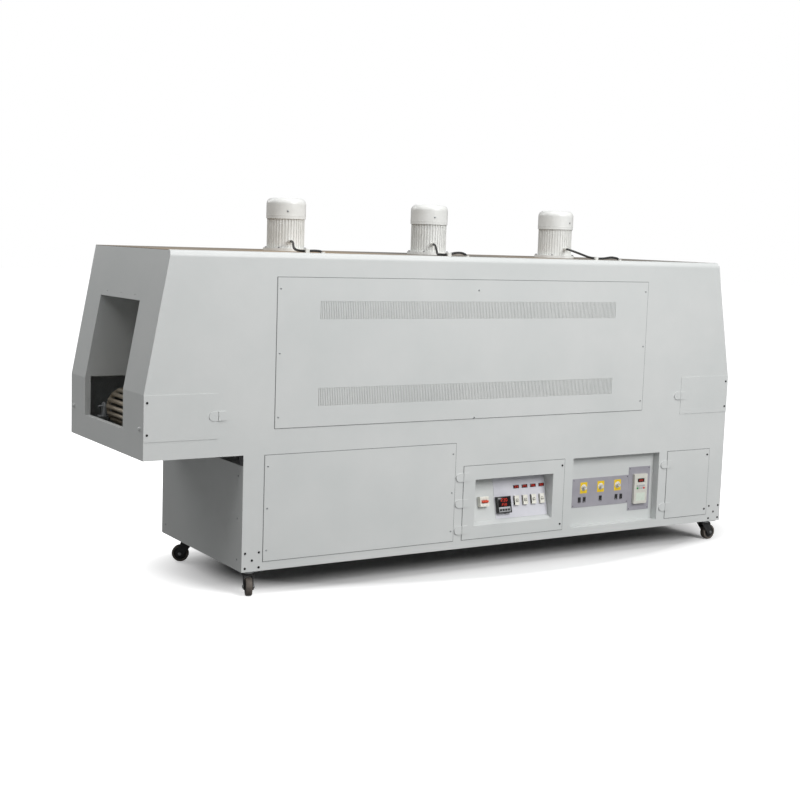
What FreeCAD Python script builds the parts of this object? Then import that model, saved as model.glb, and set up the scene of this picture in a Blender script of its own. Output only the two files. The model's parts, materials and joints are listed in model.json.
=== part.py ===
import FreeCAD, Part
import math
import os
from collections import namedtuple
from types import SimpleNamespace

import Sketcher

# Conveyor reflow oven: a sheet-steel tunnel over a cabinet on casters.
# +X runs along the conveyor to the outfeed, +Y to the rear, +Z up. Millimetres.
# The origin is on the floor under the middle of the body.

SIZES = {
    # Body
    "length": 3084, "depth": 832, "body_height": 1290, "caster_height": 105, "sheet": 2, "bend_radius": 25,
    "top_flange": 6, "overhang": 425, "tunnel_bottom": 479, "kink_height": 735, "end_inset": 105,
    "end_gap": 45, "frame_tube": 40, "frame_wall": 4, "frame_gap": 1,
    # Mouths of the tunnel
    "mouth_width": 442, "tunnel_shift": 22, "mouth_low": 576, "mouth_high": 1084, "mouth_lip": 22,
    "curtain_hole": 3, "curtain_pitch": 156, "curtain_rise": 20, "dome_bolt": 9, "dome_side": 36,
    "dome_rise": 122,
    # Oven chamber
    "ceiling": 1100, "vestibule_low": 740, "vestibule": 480, "suction_hole": 85, "heater_radius": 7,
    "heater_reach": 175, "heater_rise": 24, "heater_foot": 20,
    # Vent panel
    "vent_margin": 561, "vent_low": 582, "vent_high": 1191, "slot_margin": 196, "slot_height": 75,
    "upper_slots": 1022, "lower_slots": 666, "slot_pitch": 8, "slot_width": 2.6, "vent_window": 15,
    # Row of covers and doors along the cabinet
    "row_low": 38, "row_high": 369, "cover_margin": 95, "cover_high": 474, "cover_gap": 47,
    "control_width": 567, "panel_gap": 53, "niche_width": 535, "niche_depth": 40, "service_width": 278,
    "service_margin": 98, "overlap": 15, "side_door": 313, "side_door_low": 552, "side_door_high": 733,
    # Recess of the control door
    "recess_side": 64, "recess_foot": 58, "recess_head": 63, "recess_top": 73, "recess_base": 27,
    "recess_slope": 12,
    # Hinges
    "leaf_reach": 41, "leaf_height": 37, "leaf_proud": 2.5, "knuckle": 2.7, "hinge_pin": 1.5,
    "pin_play": 0.05, "hinge_proud": 5, "hinge_gap": 0.5,
    # Screws
    "screw": 4, "screw_head": 2.5, "screw_inset": 14, "screw_rise": 45, "corner_bolt": 5,
    "corner_pitch": 62, "corner_inset": 15,
    # Control plate and what is on it, measured up the sloping recess
    "control_plate": 1.5, "plate_left": 207, "plate_width": 292, "plate_foot": 3, "plate_height": 184,
    "breaker_left": 115, "breaker_width": 48, "breaker_low": 63, "breaker_height": 46, "breaker_proud": 21,
    "lever_reach": 8, "lever_drum": 7, "lever_play": 0.4, "controller_left": 211, "controller_size": 76,
    "controller_low": 26, "controller_proud": 16, "meter_width": 31, "meter_height": 15, "meter_low": 134,
    "meter_proud": 2, "switch_width": 26, "switch_height": 44, "switch_low": 57, "switch_proud": 10,
    "switch_first": 327, "switch_pitch": 48.3, "meter_first": 335, "toggle_width": 9, "toggle_drum": 6,
    "toggle_reach": 7,
    # Niche plates, knobs, rockers and inverter
    "selector_left": 32, "selector_width": 348, "selector_low": 87, "selector_height": 137,
    "drive_plate_width": 135, "drive_plate_low": 48, "drive_plate_height": 212, "knob_first": 101,
    "knob_pitch": 104.5, "knob_rise": 180, "knob_radius": 12, "knob_length": 15, "knob_shaft": 3,
    "rocker_rise": 122, "rocker_half": 15, "rocker_shift": 9, "rocker_width": 13, "rocker_radius": 12,
    "rocker_sink": 7.5, "rocker_play": 0.3, "inverter_width": 82, "inverter_height": 145,
    "inverter_proud": 14, "inverter_low": 33, "inverter_depth": 100,
    # Conveyor
    "belt_width": 354, "belt_radius": 75, "rod_radius": 9, "rod_pitch": 28.5, "chain_width": 6,
    "chain_height": 14, "shaft_inset": 160, "shaft_height": 612, "shaft_radius": 12.5, "shaft_play": 0.05,
    "sprocket_width": 12, "sprocket_play": 0.6, "bearing_gap": 25, "bearing_width": 34,
    "bearing_radius": 36, "bearing_base": 100, "bearing_drop": 40, "rail_width": 6, "rail_inset": 34,
    "cross_bar": 20, "cross_reach": 30, "take_up": 82, "gearbox": 104, "gearbox_width": 70,
    "gear_motor_radius": 48, "gear_motor_length": 190,
    # Fan motors and blowers
    "motor_pitch": 737, "flange_radius": 96, "flange_height": 12, "motor_radius": 78, "motor_height": 149,
    "fin_height": 3, "fin_width": 3, "cowl_radius": 85, "cowl_height": 76, "cowl_round": 25, "cowl_wall": 2,
    "blower_shaft": 12, "blower_radius": 110, "blower_height": 60, "blower_drop": 90, "shaft_hole": 30,
    "shaft_seat": 90, "blower_hub": 25, "blower_plate": 3,
    # Leads
    "lead_radius": 5, "gland_radius": 8, "gland_length": 12, "grommet": 10, "mains_bore": 8,
    "mains_gland": 14, "mains_length": 24, "mains_rise": 150, "mains_inset": 300, "lead_setback": 14,
    "lead_drop": 6, "clip_cover": 2,
    # Casters
    "caster_end": 55, "caster_front": 52, "caster_rear": 160, "caster_plate": 84, "caster_sheet": 5,
    "race_radius": 28, "race_height": 9, "swivel_play": 0.4, "fork_head": 26, "fork_height": 8, "trail": 30,
    "wheel_radius": 37.5, "wheel_width": 28, "wheel_play": 2, "fork_wall": 4, "fork_width": 34,
    "axle_radius": 5, "kingpin": 6, "pedal_width": 30, "pedal_length": 44, "pedal_pin": 4, "pedal_rise": 8,
}

MOTORS = (-1, 0, 1)
# Thickness of a lever's tongue as a share of its drum's radius: it clears its slot at full swing.
TONGUE_SHARE = 0.7
# A knob's neck and tip, as shares of its radius.
KNOB_NECK, KNOB_TIP = 0.7, 0.62
# How far a rocker's face is drawn in at its head, waist and foot, as shares of its sink.
ROCKER_HEAD, ROCKER_WAIST, ROCKER_FOOT = 0.35, 0.6, 0.1
# Hub, dish, web and rim of a wheel, as shares of its radius.
WHEEL_STEPS = (0.45, 0.5, 0.72, 0.78)
# Share of the shorter run that a bend of a lead takes up.
BEND_SHARE = 0.45
FIN_COUNT = 40
BLADE_COUNT = 10
# Swivel angle of each caster as it stands, in degrees from +X.
CASTERS = {"front_left": -110, "front_right": 0, "rear_left": 148, "rear_right": 40}

doc = FreeCAD.newDocument("reflow_oven")
sheet = doc.addObject("Spreadsheet::Sheet", "sizes")
for row, (alias, number) in enumerate(SIZES.items(), start=1):
    sheet.set(f"A{row}", alias)
    sheet.set(f"B{row}", str(number))
    sheet.setAlias(f"B{row}", alias)
doc.recompute()


def value(length):
    return length.value if isinstance(length, Size) else length


def text(length):
    return length.text if isinstance(length, Size) else repr(float(length))


class Size:
    """A size of the sheet, or one worked out from several: its value, and the expression that binds it."""

    def __init__(self, number, expression):
        self.value = number
        self.text = expression

    def __add__(self, other):
        return Size(self.value + value(other), f"({self.text} + {text(other)})")

    def __radd__(self, other):
        return Size(value(other) + self.value, f"({text(other)} + {self.text})")

    def __sub__(self, other):
        return Size(self.value - value(other), f"({self.text} - {text(other)})")

    def __rsub__(self, other):
        return Size(value(other) - self.value, f"({text(other)} - {self.text})")

    def __mul__(self, other):
        return Size(self.value * value(other), f"({self.text} * {text(other)})")

    def __rmul__(self, other):
        return Size(value(other) * self.value, f"({text(other)} * {self.text})")

    def __truediv__(self, other):
        return Size(self.value / value(other), f"({self.text} / {text(other)})")

    def __neg__(self):
        return Size(-self.value, f"(-1 * {self.text})")


def root(length):
    return Size(math.sqrt(length.value), f"sqrt({length.text})")


def power(length):
    return length * length


dim = SimpleNamespace(**{alias: Size(sheet.get(alias), f"sizes.{alias}") for alias in SIZES})

ZERO = Size(0, "0")
LEFT = -dim.length / 2
RIGHT = dim.length / 2
FRONT = -dim.depth / 2
BACK = dim.depth / 2
BASE = dim.caster_height
DECK = BASE + dim.tunnel_bottom
KINK = BASE + dim.kink_height
ROOF = BASE + dim.body_height
CABINET = LEFT + dim.overhang
MIDDLE = dim.tunnel_shift
MOUTH = (MIDDLE - dim.mouth_width / 2, MIDDLE + dim.mouth_width / 2)
BELT = (MIDDLE - dim.belt_width / 2, MIDDLE + dim.belt_width / 2)
AXLE = BASE + dim.shaft_height

# The row of covers runs back from the outfeed end, and the lower cover takes what is left.
SERVICE = (RIGHT - dim.service_margin - dim.service_width, RIGHT - dim.service_margin)
NICHE = (SERVICE[0] - dim.panel_gap - dim.niche_width, SERVICE[0] - dim.panel_gap)
CONTROL = (NICHE[0] - dim.panel_gap - dim.control_width, NICHE[0] - dim.panel_gap)
COVER = (CABINET + dim.cover_margin, CONTROL[0] - dim.cover_gap)
VENT = (LEFT + dim.vent_margin, RIGHT - dim.vent_margin)
ROW = (BASE + dim.row_low, BASE + dim.row_high)
COVER_ROW = (BASE + dim.row_low, BASE + dim.cover_high)
SIDE_ROW = (BASE + dim.side_door_low, BASE + dim.side_door_high)
INFEED_DOOR = (LEFT, LEFT + dim.side_door)
OUTFEED_DOOR = (RIGHT - dim.side_door, RIGHT)

nodes = {}
TURN = {
    "X": FreeCAD.Rotation(FreeCAD.Vector(0, 1, 0), 90),
    "Y": FreeCAD.Rotation(FreeCAD.Vector(1, 0, 0), -90),
    "Z": FreeCAD.Rotation(),
}
Circle = namedtuple("Circle", "centre radius")


def bind(thing, path, length):
    thing.setExpression(path, text(length))


def place(thing, spot, rotation=None):
    if rotation is not None:
        thing.Placement = FreeCAD.Placement(FreeCAD.Vector(), rotation)
    for letter, length in zip("xyz", spot):
        bind(thing, f"Placement.Base.{letter}", length)
    return thing


def node(name, thing):
    thing.Label = name
    nodes[name] = thing
    return thing


def block(name, x_span, y_span, z_span):
    """A box given by its low and high face along each axis."""
    box = doc.addObject("Part::Box", name)
    spans = (x_span, y_span, z_span)
    for side, (low, high) in zip(("Length", "Width", "Height"), spans):
        bind(box, side, high - low)
    return place(box, [low for low, high in spans])


def rod(name, axis, spot, radius, reach):
    """A cylinder from a point along one axis."""
    cylinder = doc.addObject("Part::Cylinder", name)
    bind(cylinder, "Radius", radius)
    bind(cylinder, "Height", reach)
    return place(cylinder, spot, TURN[axis])


def fuse(name, *shapes):
    union = doc.addObject("Part::MultiFuse", name)
    union.Shapes = list(shapes)
    union.Refine = True
    return union


def cut(name, base, *tools):
    difference = doc.addObject("Part::Cut", name)
    difference.Base = base
    difference.Tool = tools[0] if len(tools) == 1 else fuse(name + "_tools", *tools)
    return difference


def common(name, one, other):
    overlap = doc.addObject("Part::Common", name)
    overlap.Base = one
    overlap.Tool = other
    return overlap


def group(name, shapes):
    compound = doc.addObject("Part::Compound", name)
    compound.Links = list(shapes)
    return compound


def sign(number):
    return (number > 0) - (number < 0)


def vertices(outline):
    """Ends of each edge of an outline; a point with a third value is a right-angled corner rounded to it."""
    edges = []
    for i, here in enumerate(outline):
        if len(here) == 2:
            edges.append([here, here, None])
            continue
        u, v, radius = here
        before, after = outline[i - 1], outline[(i + 1) % len(outline)]
        start = (
            u + sign(value(before[0] - u)) * radius,
            v + sign(value(before[1] - v)) * radius,
        )
        end = (
            u + sign(value(after[0] - u)) * radius,
            v + sign(value(after[1] - v)) * radius,
        )
        edges.append([start, end, radius])
    return edges


def pin_point(sketch, geometry, which, point):
    for kind, length in zip(("DistanceX", "DistanceY"), point):
        index = sketch.addConstraint(Sketcher.Constraint(kind, geometry, which, value(length)))
        bind(sketch, f"Constraints[{index}]", length)


def vector(point):
    return FreeCAD.Vector(value(point[0]), value(point[1]), 0)


def draw_arc(sketch, start, end, corner, radius):
    """A quarter arc round a corner, and which of its two ends is the outline's start."""
    centre = vector(start) + vector(end) - vector(corner)
    spoke, other = vector(start) - centre, vector(end) - centre
    angles = [math.atan2(arm.y, arm.x) for arm in (spoke, other)]
    forward = spoke.cross(other).z > 0
    if not forward:
        angles.reverse()
    if angles[1] < angles[0]:
        angles[1] += 2 * math.pi
    circle = Part.Circle(centre, FreeCAD.Vector(0, 0, 1), value(radius))
    arc = sketch.addGeometry(Part.ArcOfCircle(circle, *angles))
    index = sketch.addConstraint(Sketcher.Constraint("Radius", arc, value(radius)))
    bind(sketch, f"Constraints[{index}]", radius)
    return arc, (1, 2) if forward else (2, 1)


def draw(sketch, outline):
    """One closed outline, with every point bound to its sizes."""
    if isinstance(outline, Circle):
        circle = Part.Circle(vector(outline.centre), FreeCAD.Vector(0, 0, 1), value(outline.radius))
        geometry = sketch.addGeometry(circle)
        pin_point(sketch, geometry, 3, outline.centre)
        index = sketch.addConstraint(Sketcher.Constraint("Radius", geometry, value(outline.radius)))
        bind(sketch, f"Constraints[{index}]", outline.radius)
        return
    edges = vertices(outline)
    pieces = []
    for i, (start, end, radius) in enumerate(edges):
        if radius is not None:
            arc, ends = draw_arc(sketch, start, end, outline[i], radius)
            pieces.append((arc, ends, start))
        following = edges[(i + 1) % len(edges)][0]
        line = sketch.addGeometry(Part.LineSegment(vector(end), vector(following)))
        pieces.append((line, (1, 2), end))
    for i, (geometry, ends, start) in enumerate(pieces):
        previous, previous_ends, _ = pieces[i - 1]
        joint = Sketcher.Constraint("Coincident", previous, previous_ends[1], geometry, ends[0])
        sketch.addConstraint(joint)
        pin_point(sketch, geometry, ends[0], start)


def new_sketch(body, name, plane, offset):
    sketch = body.newObject("Sketcher::SketchObject", name)
    support = [f for f in body.Origin.OriginFeatures if f.Role == plane + "_Plane"]
    sketch.AttachmentSupport = [(support[0], "")]
    sketch.MapMode = "FlatFace"
    bind(sketch, "AttachmentOffset.Base.z", offset)
    return sketch


def plate(name, plane, outline, span, holes=()):
    """A body padded from an outline with holes; the XZ plane faces -Y, so its pads run forwards."""
    body = doc.addObject("PartDesign::Body", name)
    offset = -span[1] if plane == "XZ" else span[0]
    sketch = new_sketch(body, name + "_outline", plane, offset)
    for loop in (outline, *holes):
        draw(sketch, loop)
    pad = body.newObject("PartDesign::Pad", name + "_pad")
    pad.Profile = sketch
    bind(pad, "Length", span[1] - span[0])
    return body


def turned(name, spot, profile, axis="Z"):
    """A body turned from a profile of radius and height about an axis through a point."""
    body = doc.addObject("PartDesign::Body", name)
    sketch = new_sketch(body, name + "_profile", "XZ", 0)
    draw(sketch, profile)
    revolution = body.newObject("PartDesign::Revolution", name + "_turn")
    revolution.Profile = sketch
    revolution.ReferenceAxis = (sketch, ["V_Axis"])
    return place(body, spot, TURN[axis])


def patterned(body, profile, plane, offset, reach, count, name):
    """Copies of a pad round the body's Z axis."""
    sketch = new_sketch(body, name + "_outline", plane, offset)
    draw(sketch, profile)
    pad = body.newObject("PartDesign::Pad", name + "_pad")
    pad.Profile = sketch
    bind(pad, "Length", reach)
    pattern = body.newObject("PartDesign::PolarPattern", name + "_pattern")
    pattern.Originals = [pad]
    axis = [f for f in body.Origin.OriginFeatures if f.Role == "Z_Axis"][0]
    pattern.Axis = (axis, [""])
    pattern.Angle = 360
    pattern.Occurrences = count
    body.Tip = pattern


def rectangle(u_span, v_span):
    return [(u_span[0], v_span[0]), (u_span[1], v_span[0]), (u_span[1], v_span[1]), (u_span[0], v_span[1])]


def ordered(one, other):
    return tuple(sorted((one, other), key=value))


def shrunk(span, margin):
    return (span[0] + margin, span[1] - margin)


def centred(middle, width):
    return (middle - width / 2, middle + width / 2)


def end_slope(height):
    """How far the end faces lean in at a height above the cabinet's foot."""
    return dim.end_inset * (height - dim.kink_height) / (dim.body_height - dim.kink_height)


def skin_outline(top):
    lean = end_slope(top)
    return [
        (CABINET, BASE), (RIGHT, BASE), (RIGHT, KINK), (RIGHT - lean, BASE + top),
        (LEFT + lean, BASE + top), (LEFT, KINK), (LEFT, DECK), (CABINET, DECK),
    ]


def base_frame():
    x_span = (CABINET + dim.sheet, RIGHT - dim.sheet)
    y_span = (FRONT + dim.sheet, BACK - dim.sheet)
    foot = (BASE, BASE + dim.row_low - dim.sheet - dim.frame_gap)
    outer = block("frame_ring", x_span, y_span, foot)
    window = block("frame_window", shrunk(x_span, dim.frame_tube), shrunk(y_span, dim.frame_tube), foot)
    channel = block(
        "frame_channel", shrunk(x_span, dim.frame_wall), shrunk(y_span, dim.frame_wall),
        shrunk(foot, dim.frame_wall)
    )
    pieces = [cut("frame_rails", outer, window, channel)]
    height = (foot[1], DECK)
    for side, x_edge, across in (("left", x_span[0], 1), ("right", x_span[1], -1)):
        for face, y_edge, along in (("front", y_span[0], 1), ("rear", y_span[1], -1)):
            x_post = ordered(x_edge, x_edge + across * dim.frame_tube)
            y_post = ordered(y_edge, y_edge + along * dim.frame_tube)
            x_bore = ordered(x_edge + across * dim.frame_wall, x_post[0 if across < 0 else 1])
            y_bore = ordered(y_edge + along * dim.frame_wall, y_post[0 if along < 0 else 1])
            post = block(f"post_{face}_{side}", x_post, y_post, height)
            bore = block(f"post_bore_{face}_{side}", x_bore, y_bore, height)
            pieces.append(cut(f"angle_{face}_{side}", post, bore))
    for name, x_middle in (("near", COVER[1] + dim.cover_gap / 2), ("far", NICHE[1] + dim.panel_gap / 2)):
        bar = centred(x_middle, dim.frame_tube)
        pieces.append(block(f"frame_bar_{name}", bar, shrunk(y_span, dim.frame_wall),
                            (BASE, BASE + dim.frame_wall)))
    node("base_frame", fuse("frame", *pieces))


def slotted_rows():
    return (("upper", BASE + dim.upper_slots), ("lower", BASE + dim.lower_slots))


def front_skin():
    slots = shrunk(VENT, dim.slot_margin)
    windows = []
    for _, low in slotted_rows():
        span = (low - dim.vent_window, low + dim.slot_height + dim.vent_window)
        windows.append(rectangle((slots[0] - dim.vent_window, slots[1] + dim.vent_window), span))
    for door, row in ((CONTROL, ROW), (SERVICE, ROW), (COVER, COVER_ROW)):
        windows.append(rectangle(shrunk(door, dim.overlap), shrunk(row, dim.overlap)))
    for door in (INFEED_DOOR, OUTFEED_DOOR):
        windows.append(rectangle(shrunk(door, 2 * dim.overlap), shrunk(SIDE_ROW, dim.overlap)))
    windows.append(rectangle(NICHE, ROW))
    flat_top = dim.body_height - dim.bend_radius
    flat = plate("front_flat", "XZ", skin_outline(flat_top), (FRONT, FRONT + dim.sheet), windows)
    foot = ROOF - 2 * dim.bend_radius
    edge = FRONT + dim.bend_radius + dim.top_flange
    profile = [
        (FRONT, foot), (FRONT, ROOF, dim.bend_radius), (edge, ROOF), (edge, ROOF - dim.sheet),
        (FRONT + dim.sheet, ROOF - dim.sheet, dim.bend_radius - dim.sheet), (FRONT + dim.sheet, foot),
    ]
    bend = plate("top_bend", "YZ", profile, (LEFT, RIGHT))
    low, high = end_slope(flat_top - dim.bend_radius), end_slope(dim.body_height)
    trim = [(LEFT + low, foot), (RIGHT - low, foot), (RIGHT - high, ROOF), (LEFT + high, ROOF)]
    ends = plate("top_trim", "XZ", trim, (FRONT, edge))
    node("front_skin", fuse("front", flat, common("trimmed_bend", bend, ends)))


def mains_spot():
    return (RIGHT - dim.mains_inset, BASE + dim.mains_rise)


def rear_skin():
    hole = Circle(mains_spot(), dim.mains_gland)
    outline = skin_outline(dim.body_height - dim.sheet)
    node("rear_skin", plate("rear", "XZ", outline, (BACK - dim.sheet, BACK), [hole]))


def motor_middle(place_along):
    return place_along * dim.motor_pitch


LEAD_ENDS = {-1: -20, 0: -38, 1: 96}


def lead_end(place_along):
    return (motor_middle(place_along) + LEAD_ENDS[place_along],
            FRONT + dim.bend_radius + dim.top_flange + dim.lead_setback)


def roof_sheet():
    holes = [Circle((motor_middle(k), 0), dim.shaft_hole) for k in MOTORS]
    holes += [Circle(lead_end(k), dim.grommet) for k in MOTORS]
    x_span = (LEFT + dim.end_inset, RIGHT - dim.end_inset)
    y_span = (FRONT + dim.bend_radius + dim.top_flange, BACK)
    node("roof_sheet", plate("roof", "XY", rectangle(x_span, y_span), (ROOF - dim.sheet, ROOF), holes))


def end_hood(name, end, inward, low):
    """Kinked end face with its lipped mouth; inward is the way from the end face into the tunnel."""
    top = dim.body_height - dim.sheet
    lean = inward * end_slope(top)
    y_span = (FRONT + dim.sheet, BACK - dim.sheet)
    outline = [
        (y_span[0], low), (y_span[1], low), (y_span[1], BASE + top),
        (y_span[0], BASE + top, dim.bend_radius - dim.sheet),
    ]
    mouth = rectangle(MOUTH, (BASE + dim.mouth_low, BASE + dim.mouth_high))
    rim = rectangle(
        (MOUTH[0] - dim.sheet, MOUTH[1] + dim.sheet),
        (BASE + dim.mouth_low - dim.sheet, BASE + dim.mouth_high + dim.sheet),
    )
    curtain = BASE + dim.mouth_high + dim.curtain_rise
    holes = [Circle((MIDDLE + k * dim.curtain_pitch - dim.sheet, curtain), dim.curtain_hole) for k in MOTORS]
    reach = ordered(end, end + inward * 2 * dim.end_inset)

    def strip(label, near, far):
        points = []
        for shift, order in ((near, 1), (far, -1)):
            edge = end + inward * shift
            side = [(edge, low), (edge, KINK), (edge + lean, BASE + top)]
            points += side[::order]
        return plate(label, "XZ", points, (FRONT, BACK))

    face = plate(name + "_outline", "YZ", outline, reach, [mouth, *holes])
    lip = plate(name + "_ring", "YZ", rim, reach, [mouth])
    folded = common(name + "_face", face, strip(name + "_fold", ZERO, dim.sheet))
    ring = common(name + "_lip", lip, strip(name + "_return", dim.sheet, dim.sheet + dim.mouth_lip))
    pieces = [fuse(name + "_sheet", folded, ring)]
    for edge, y_bolt in (("front", FRONT + dim.dome_side), ("rear", BACK - dim.dome_side)):
        bolt = doc.addObject("Part::Sphere", f"{name}_bolt_{edge}")
        bind(bolt, "Radius", dim.dome_bolt)
        bolt.Angle1 = 0
        spot = (end, y_bolt, DECK + dim.dome_rise)
        pieces.append(place(bolt, spot, FreeCAD.Rotation(FreeCAD.Vector(0, 1, 0), -90 * inward)))
    node(name, group(name + "_pieces", pieces))


def floor_and_end_panel():
    y_span = (FRONT + dim.sheet, BACK - dim.sheet)
    deck = block("deck", (LEFT + dim.sheet, RIGHT - dim.sheet), y_span, (DECK, DECK + dim.sheet))
    node("tunnel_floor", deck)
    panel = block("end_panel", (CABINET, CABINET + dim.sheet), y_span, (BASE, DECK - dim.end_gap))
    node("cabinet_end_panel", panel)


def vent_panel():
    body = doc.addObject("PartDesign::Body", "vents")
    sketch = new_sketch(body, "vents_outline", "XZ", -FRONT)
    draw(sketch, rectangle(VENT, (BASE + dim.vent_low, BASE + dim.vent_high)))
    pad = body.newObject("PartDesign::Pad", "vents_pad")
    pad.Profile = sketch
    bind(pad, "Length", dim.sheet)
    direction = [f for f in body.Origin.OriginFeatures if f.Role == "X_Axis"][0]
    first = VENT[0] + dim.slot_margin
    run = VENT[1] - dim.slot_margin - first - dim.slot_width
    for name, low in slotted_rows():
        slot = new_sketch(body, name + "_slot", "XZ", -FRONT + dim.sheet)
        draw(slot, rectangle((first, first + dim.slot_width), (low, low + dim.slot_height)))
        pocket = body.newObject("PartDesign::Pocket", name + "_pocket")
        pocket.Profile = slot
        pocket.Type = "ThroughAll"
        pattern = body.newObject("PartDesign::LinearPattern", name + "_slots")
        pattern.Originals = [pocket]
        pattern.Direction = (direction, [""])
        pattern.Mode = "Extent"
        bind(pattern, "Length", run)
        pattern.setExpression("Occurrences", f"floor({(run / dim.slot_pitch).text}) + 1")
        body.Tip = pattern
    node("vent_panel", body)


def lower_cover():
    node("lower_cover", block("cover", COVER, (FRONT - dim.sheet, FRONT), COVER_ROW))


def hinge_halves(name, x_axis, door_side, z_middle):
    """Fixed and moving half of a lift-off hinge; door_side is +1 if the door lies towards +X of the pin."""
    y_axis = FRONT - dim.hinge_proud
    outer = FRONT - dim.sheet - dim.leaf_proud
    half = dim.leaf_height / 2
    share = half - dim.hinge_gap / 2
    low, high = z_middle - half, z_middle + half
    start = dim.knuckle + dim.hinge_gap
    halves = []
    for kind, side, back, foot in (
        ("fixed", -door_side, FRONT, low), ("moving", door_side, FRONT - dim.sheet, high - share),
    ):
        label = f"{name}_{kind}"
        rounded = x_axis + side * (dim.leaf_reach - half)
        leaf = block(label + "_leaf", ordered(x_axis + side * start, rounded), (outer, back), (low, high))
        tip = rod(label + "_tip", "Y", (rounded, outer, z_middle), half, back - outer)
        barrel = rod(label + "_barrel", "Z", (x_axis, y_axis, foot), dim.knuckle, share)
        web = block(label + "_web", ordered(x_axis, x_axis + side * (start + dim.hinge_gap)),
                    (y_axis, outer + dim.hinge_gap), (foot, foot + share))
        body = fuse(label + "_half", leaf, tip, barrel, web)
        if kind == "fixed":
            pin = rod(name + "_pin", "Z", (x_axis, y_axis, low), dim.hinge_pin,
                      dim.leaf_height - dim.hinge_gap)
            halves.append(fuse(label, body, pin))
        else:
            bore = rod(name + "_bore", "Z", (x_axis, y_axis, low), dim.hinge_pin + dim.pin_play,
                       dim.leaf_height)
            halves.append(cut(label, body, bore))
    return halves


def screws(name, spots, y_face):
    return [
        rod(f"{name}_{i}", "Y", (x, y_face - dim.screw_head, z), dim.screw, dim.screw_head)
        for i, (x, z) in enumerate(spots)
    ]


def door_screws(name, door, row, free_side):
    x = door[1] - dim.screw_inset if free_side > 0 else door[0] + dim.screw_inset
    spots = [(x, row[0] + 2 * dim.screw_inset), (x, row[1] - 2 * dim.screw_inset)]
    return screws(name, spots, FRONT - dim.sheet)


def recess_outline(margin):
    """Section of the control door's sloping recess, from its mouth inwards."""
    low, high = ROW[0] + dim.recess_foot, ROW[1] - dim.recess_head
    mouth = FRONT - dim.sheet if margin == 0 else FRONT
    return [
        (mouth, low - margin), (FRONT + dim.recess_base + margin, low + dim.recess_slope - margin),
        (FRONT + dim.recess_top + margin, high + margin), (mouth, high + margin),
    ]


def control_slope():
    """Foot of the recess's sloping back, and how it rises: its run and its height."""
    low, high = ROW[0] + dim.recess_foot + dim.recess_slope, ROW[1] - dim.recess_head
    return (FRONT + dim.recess_base, low), (dim.recess_top - dim.recess_base, high - low)


def doors():
    fixed = []
    leaves = {
        "infeed_door": (INFEED_DOOR, SIDE_ROW, -1, [(SIDE_ROW[0] + SIDE_ROW[1]) / 2]),
        "outfeed_door": (OUTFEED_DOOR, SIDE_ROW, 1, [(SIDE_ROW[0] + SIDE_ROW[1]) / 2]),
        "service_door": (SERVICE, ROW, 1, [ROW[0] + dim.recess_foot, ROW[1] - dim.recess_head]),
        "control_door": (
            CONTROL, ROW, 1,
            [ROW[0] + dim.screw_rise, (ROW[0] + ROW[1]) / 2, ROW[1] - dim.screw_rise - dim.screw],
        ),
    }
    for name, (door, row, side, heights) in leaves.items():
        x_axis = door[0] if side > 0 else door[1]
        x_span = (door[0] + dim.hinge_gap, door[1]) if side > 0 else (door[0], door[1] - dim.hinge_gap)
        pieces = [block(name + "_panel", x_span, (FRONT - dim.sheet, FRONT), row)]
        for i, z_middle in enumerate(heights):
            still, moving = hinge_halves(f"{name}_hinge_{i}", x_axis, side, z_middle)
            fixed.append(still)
            pieces.append(moving)
        if name == "control_door":
            inside = shrunk(door, dim.recess_side)
            tray = plate("recess_shell", "YZ", recess_outline(dim.sheet),
                         (inside[0] - dim.sheet, inside[1] + dim.sheet))
            hollow = plate("recess_hollow", "YZ", recess_outline(0), inside)
            panel = fuse("control_weldment", *pieces, tray)
            pieces = [cut("control_leaf", panel, hollow)]
        weldment = pieces[0] if len(pieces) == 1 else fuse(name + "_weldment", *pieces)
        heads = door_screws(name + "_screw", door, row, side)
        node(name, group(name + "_pieces", [weldment, *heads]))
    node("hinge_leaves", group("fixed_leaves", fixed))


def panel_screws():
    pieces = []
    vent = shrunk(VENT, dim.screw_inset)
    vent_row = shrunk((BASE + dim.vent_low, BASE + dim.vent_high), dim.screw_rise)
    vent_heights = (vent_row[0], (vent_row[0] + vent_row[1]) / 2, vent_row[1])
    spots = [(x, z) for x in vent for z in vent_heights]
    spots += [(ZERO, BASE + dim.vent_low + dim.screw), (ZERO, BASE + dim.vent_high - dim.screw_rise)]
    pieces += screws("vent_screw", spots, FRONT - dim.sheet)
    cover_row = shrunk(COVER_ROW, dim.screw_rise)
    cover_heights = (cover_row[0], (cover_row[0] + cover_row[1]) / 2, cover_row[1])
    spots = [(x, z) for x in shrunk(COVER, dim.screw_inset) for z in cover_heights]
    pieces += screws("cover_screw", spots, FRONT - dim.sheet)
    for side, edge, inward in (("left", CABINET, 1), ("right", RIGHT, -1)):
        for i, (across, up) in enumerate(((0, 0), (1, 0), (0.5, 0.5), (0, 1), (1, 1))):
            x = edge + inward * (dim.corner_inset + across * dim.corner_pitch)
            z = BASE + dim.corner_inset + up * dim.corner_pitch
            name = f"corner_bolt_{side}_{i}"
            pieces.append(rod(name, "Y", (x, FRONT - dim.screw_head, z), dim.corner_bolt, dim.screw_head))
    panel_low, panel_high = BASE + dim.screw_rise, DECK - dim.end_gap - dim.screw_rise
    side_spots = [(y, z) for y in shrunk((FRONT, BACK), dim.screw_rise) for z in (panel_low, panel_high)]
    side_spots.append((FRONT + dim.screw_rise, (panel_low + panel_high) / 2))
    for i, (y, z) in enumerate(side_spots):
        pieces.append(rod(f"end_screw_{i}", "X", (CABINET - dim.screw_head, y, z), dim.screw, dim.screw_head))
    node("panel_screws", group("screw_set", pieces))


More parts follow.
